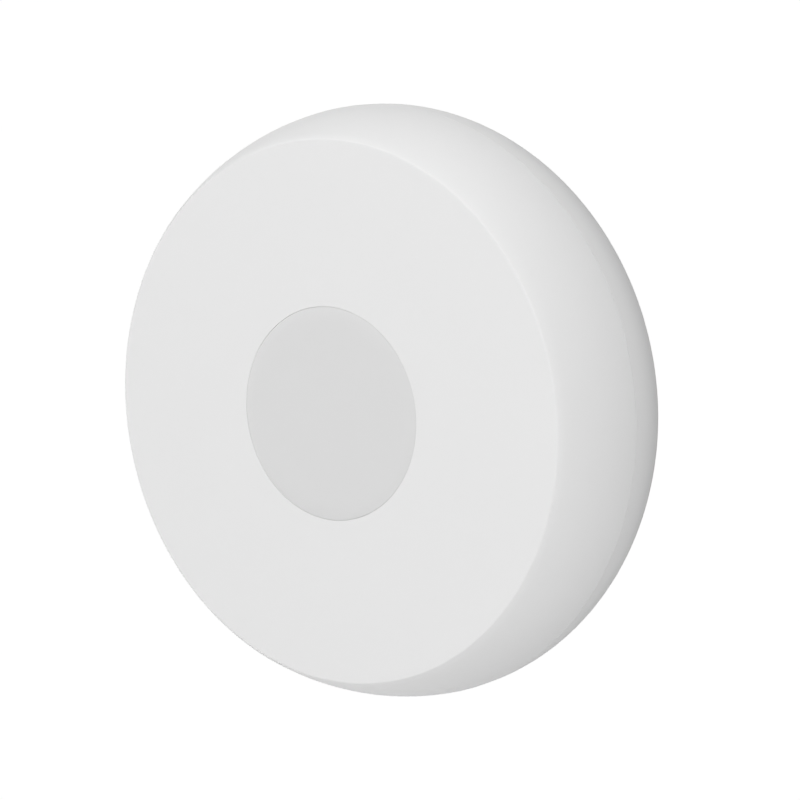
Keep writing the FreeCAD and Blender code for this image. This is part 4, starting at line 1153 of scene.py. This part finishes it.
def make_floor():
    """A pale plane under the puck.

    Seen directly, the share FLOOR_SHINE of it is white light. The rest shows the shadow, and looks
    FLOOR_LIT bright where there is none, so the light is set to bring both together to SEEN_WHITE.
    """
    half = FLOOR_SIZE / 2 / MM
    corners = np.array([(-half, -half), (half, -half), (half, half), (-half, half)])
    points = np.column_stack([corners, np.full(4, FLOOR_LEVEL / MM)])
    floor = make_piece("floor", points, [(0, 1, 2, 3)])
    finish = Finish("pale_floor", Roughness=0.9, Specular_IOR_Level=0.1)
    darker = [part * (1 - FLOOR_CLOUD) for part in FLOOR_COLOUR]
    finish.set(finish.blend(finish.noise(40, 2.0), FLOOR_COLOUR, darker))
    strength = (SEEN_WHITE - (1 - FLOOR_SHINE) * FLOOR_LIT) / FLOOR_SHINE
    shine = finish.node("ShaderNodeEmission", None, {"Color": (1, 1, 1, 1), "Strength": strength})
    share = FLOOR_SHINE * seen_directly(finish)
    sockets = {0: share, 1: finish.shader.outputs[0], 2: shine.outputs[0]}
    mixed = finish.node("ShaderNodeMixShader", None, sockets)
    finish.feed(finish.tree.nodes["Material Output"].inputs["Surface"], mixed.outputs[0])
    floor.data.materials.append(finish.material)
    return floor


Sky()
print("floor at", make_floor().data.vertices[0].co.z)

# %% [markdown]
# Each lamp is a soft disc aimed at the puck. Its values are a direction, a distance and a radius in metres,
# and a tone: the share of a white surface's light that it adds when it shines straight on it. The tones
# were found by rendering each lamp alone and taking the mix that comes closest to the photograph. With
# each lamp's slant counted and the world's light added, the face gets about 0.94 of full light. The lamp
# behind the puck stands opposite the camera. It lights the back and the rear half, which the photograph
# doesn't show, and only a little of it comes round to the front, off the floor.

# %% Lamps
LAMPS = {
    "camera_side": ((0.59, -0.79, 0.15), 0.6, 0.2, 0.325),
    "upper_right": ((0.80, -0.25, 0.55), 0.6, 0.2, 0.306),
    "near_top": ((0.0, -0.40, 0.90), 0.3, 0.1, 0.158),
    "upper_left": ((-0.55, -0.45, 0.70), 0.5, 0.17, 0.317),
    "left": ((-0.85, -0.50, -0.10), 0.6, 0.2, 0.159),
    "lower_left": ((-0.30, -0.70, -0.65), 0.5, 0.17, 0.102),
    "lower_right": ((0.60, -0.60, -0.50), 0.5, 0.17, 0.077),
    "under": ((0.10, -0.35, -0.93), 0.4, 0.13, 0.136),
    "behind": ((-0.59, 0.79, -0.15), 0.8, 0.07, 0.45),
}


def place_lamp(name, towards, distance, radius, tone):
    """A disc lamp aimed at the puck: power = pi^2 (distance^2 + radius^2) tone, in watts."""
    light = bpy.data.lights.new(name, "AREA")
    light.shape = "DISK"
    light.size = 2 * radius
    light.energy = math.pi ** 2 * (distance ** 2 + radius ** 2) * tone
    lamp = bpy.data.objects.new(name, light)
    bpy.context.collection.objects.link(lamp)
    direction = Vector(towards).normalized()
    turned_to = direction.to_track_quat("Z", "Y").to_matrix().to_4x4()
    turned_to.translation = Vector((0, -FACE * MM / 2, 0)) + distance * direction
    lamp.matrix_world = turned_to
    lamp.visible_camera = False
    return lamp


for name, values in LAMPS.items():
    place_lamp(name, *values)
print(len(LAMPS), "lamps")

# %% [markdown]
# ## Finish
# Standard view, so that a colour shows about as it is written.

# %% Set the view
bpy.context.scene.view_settings.view_transform = "Standard"
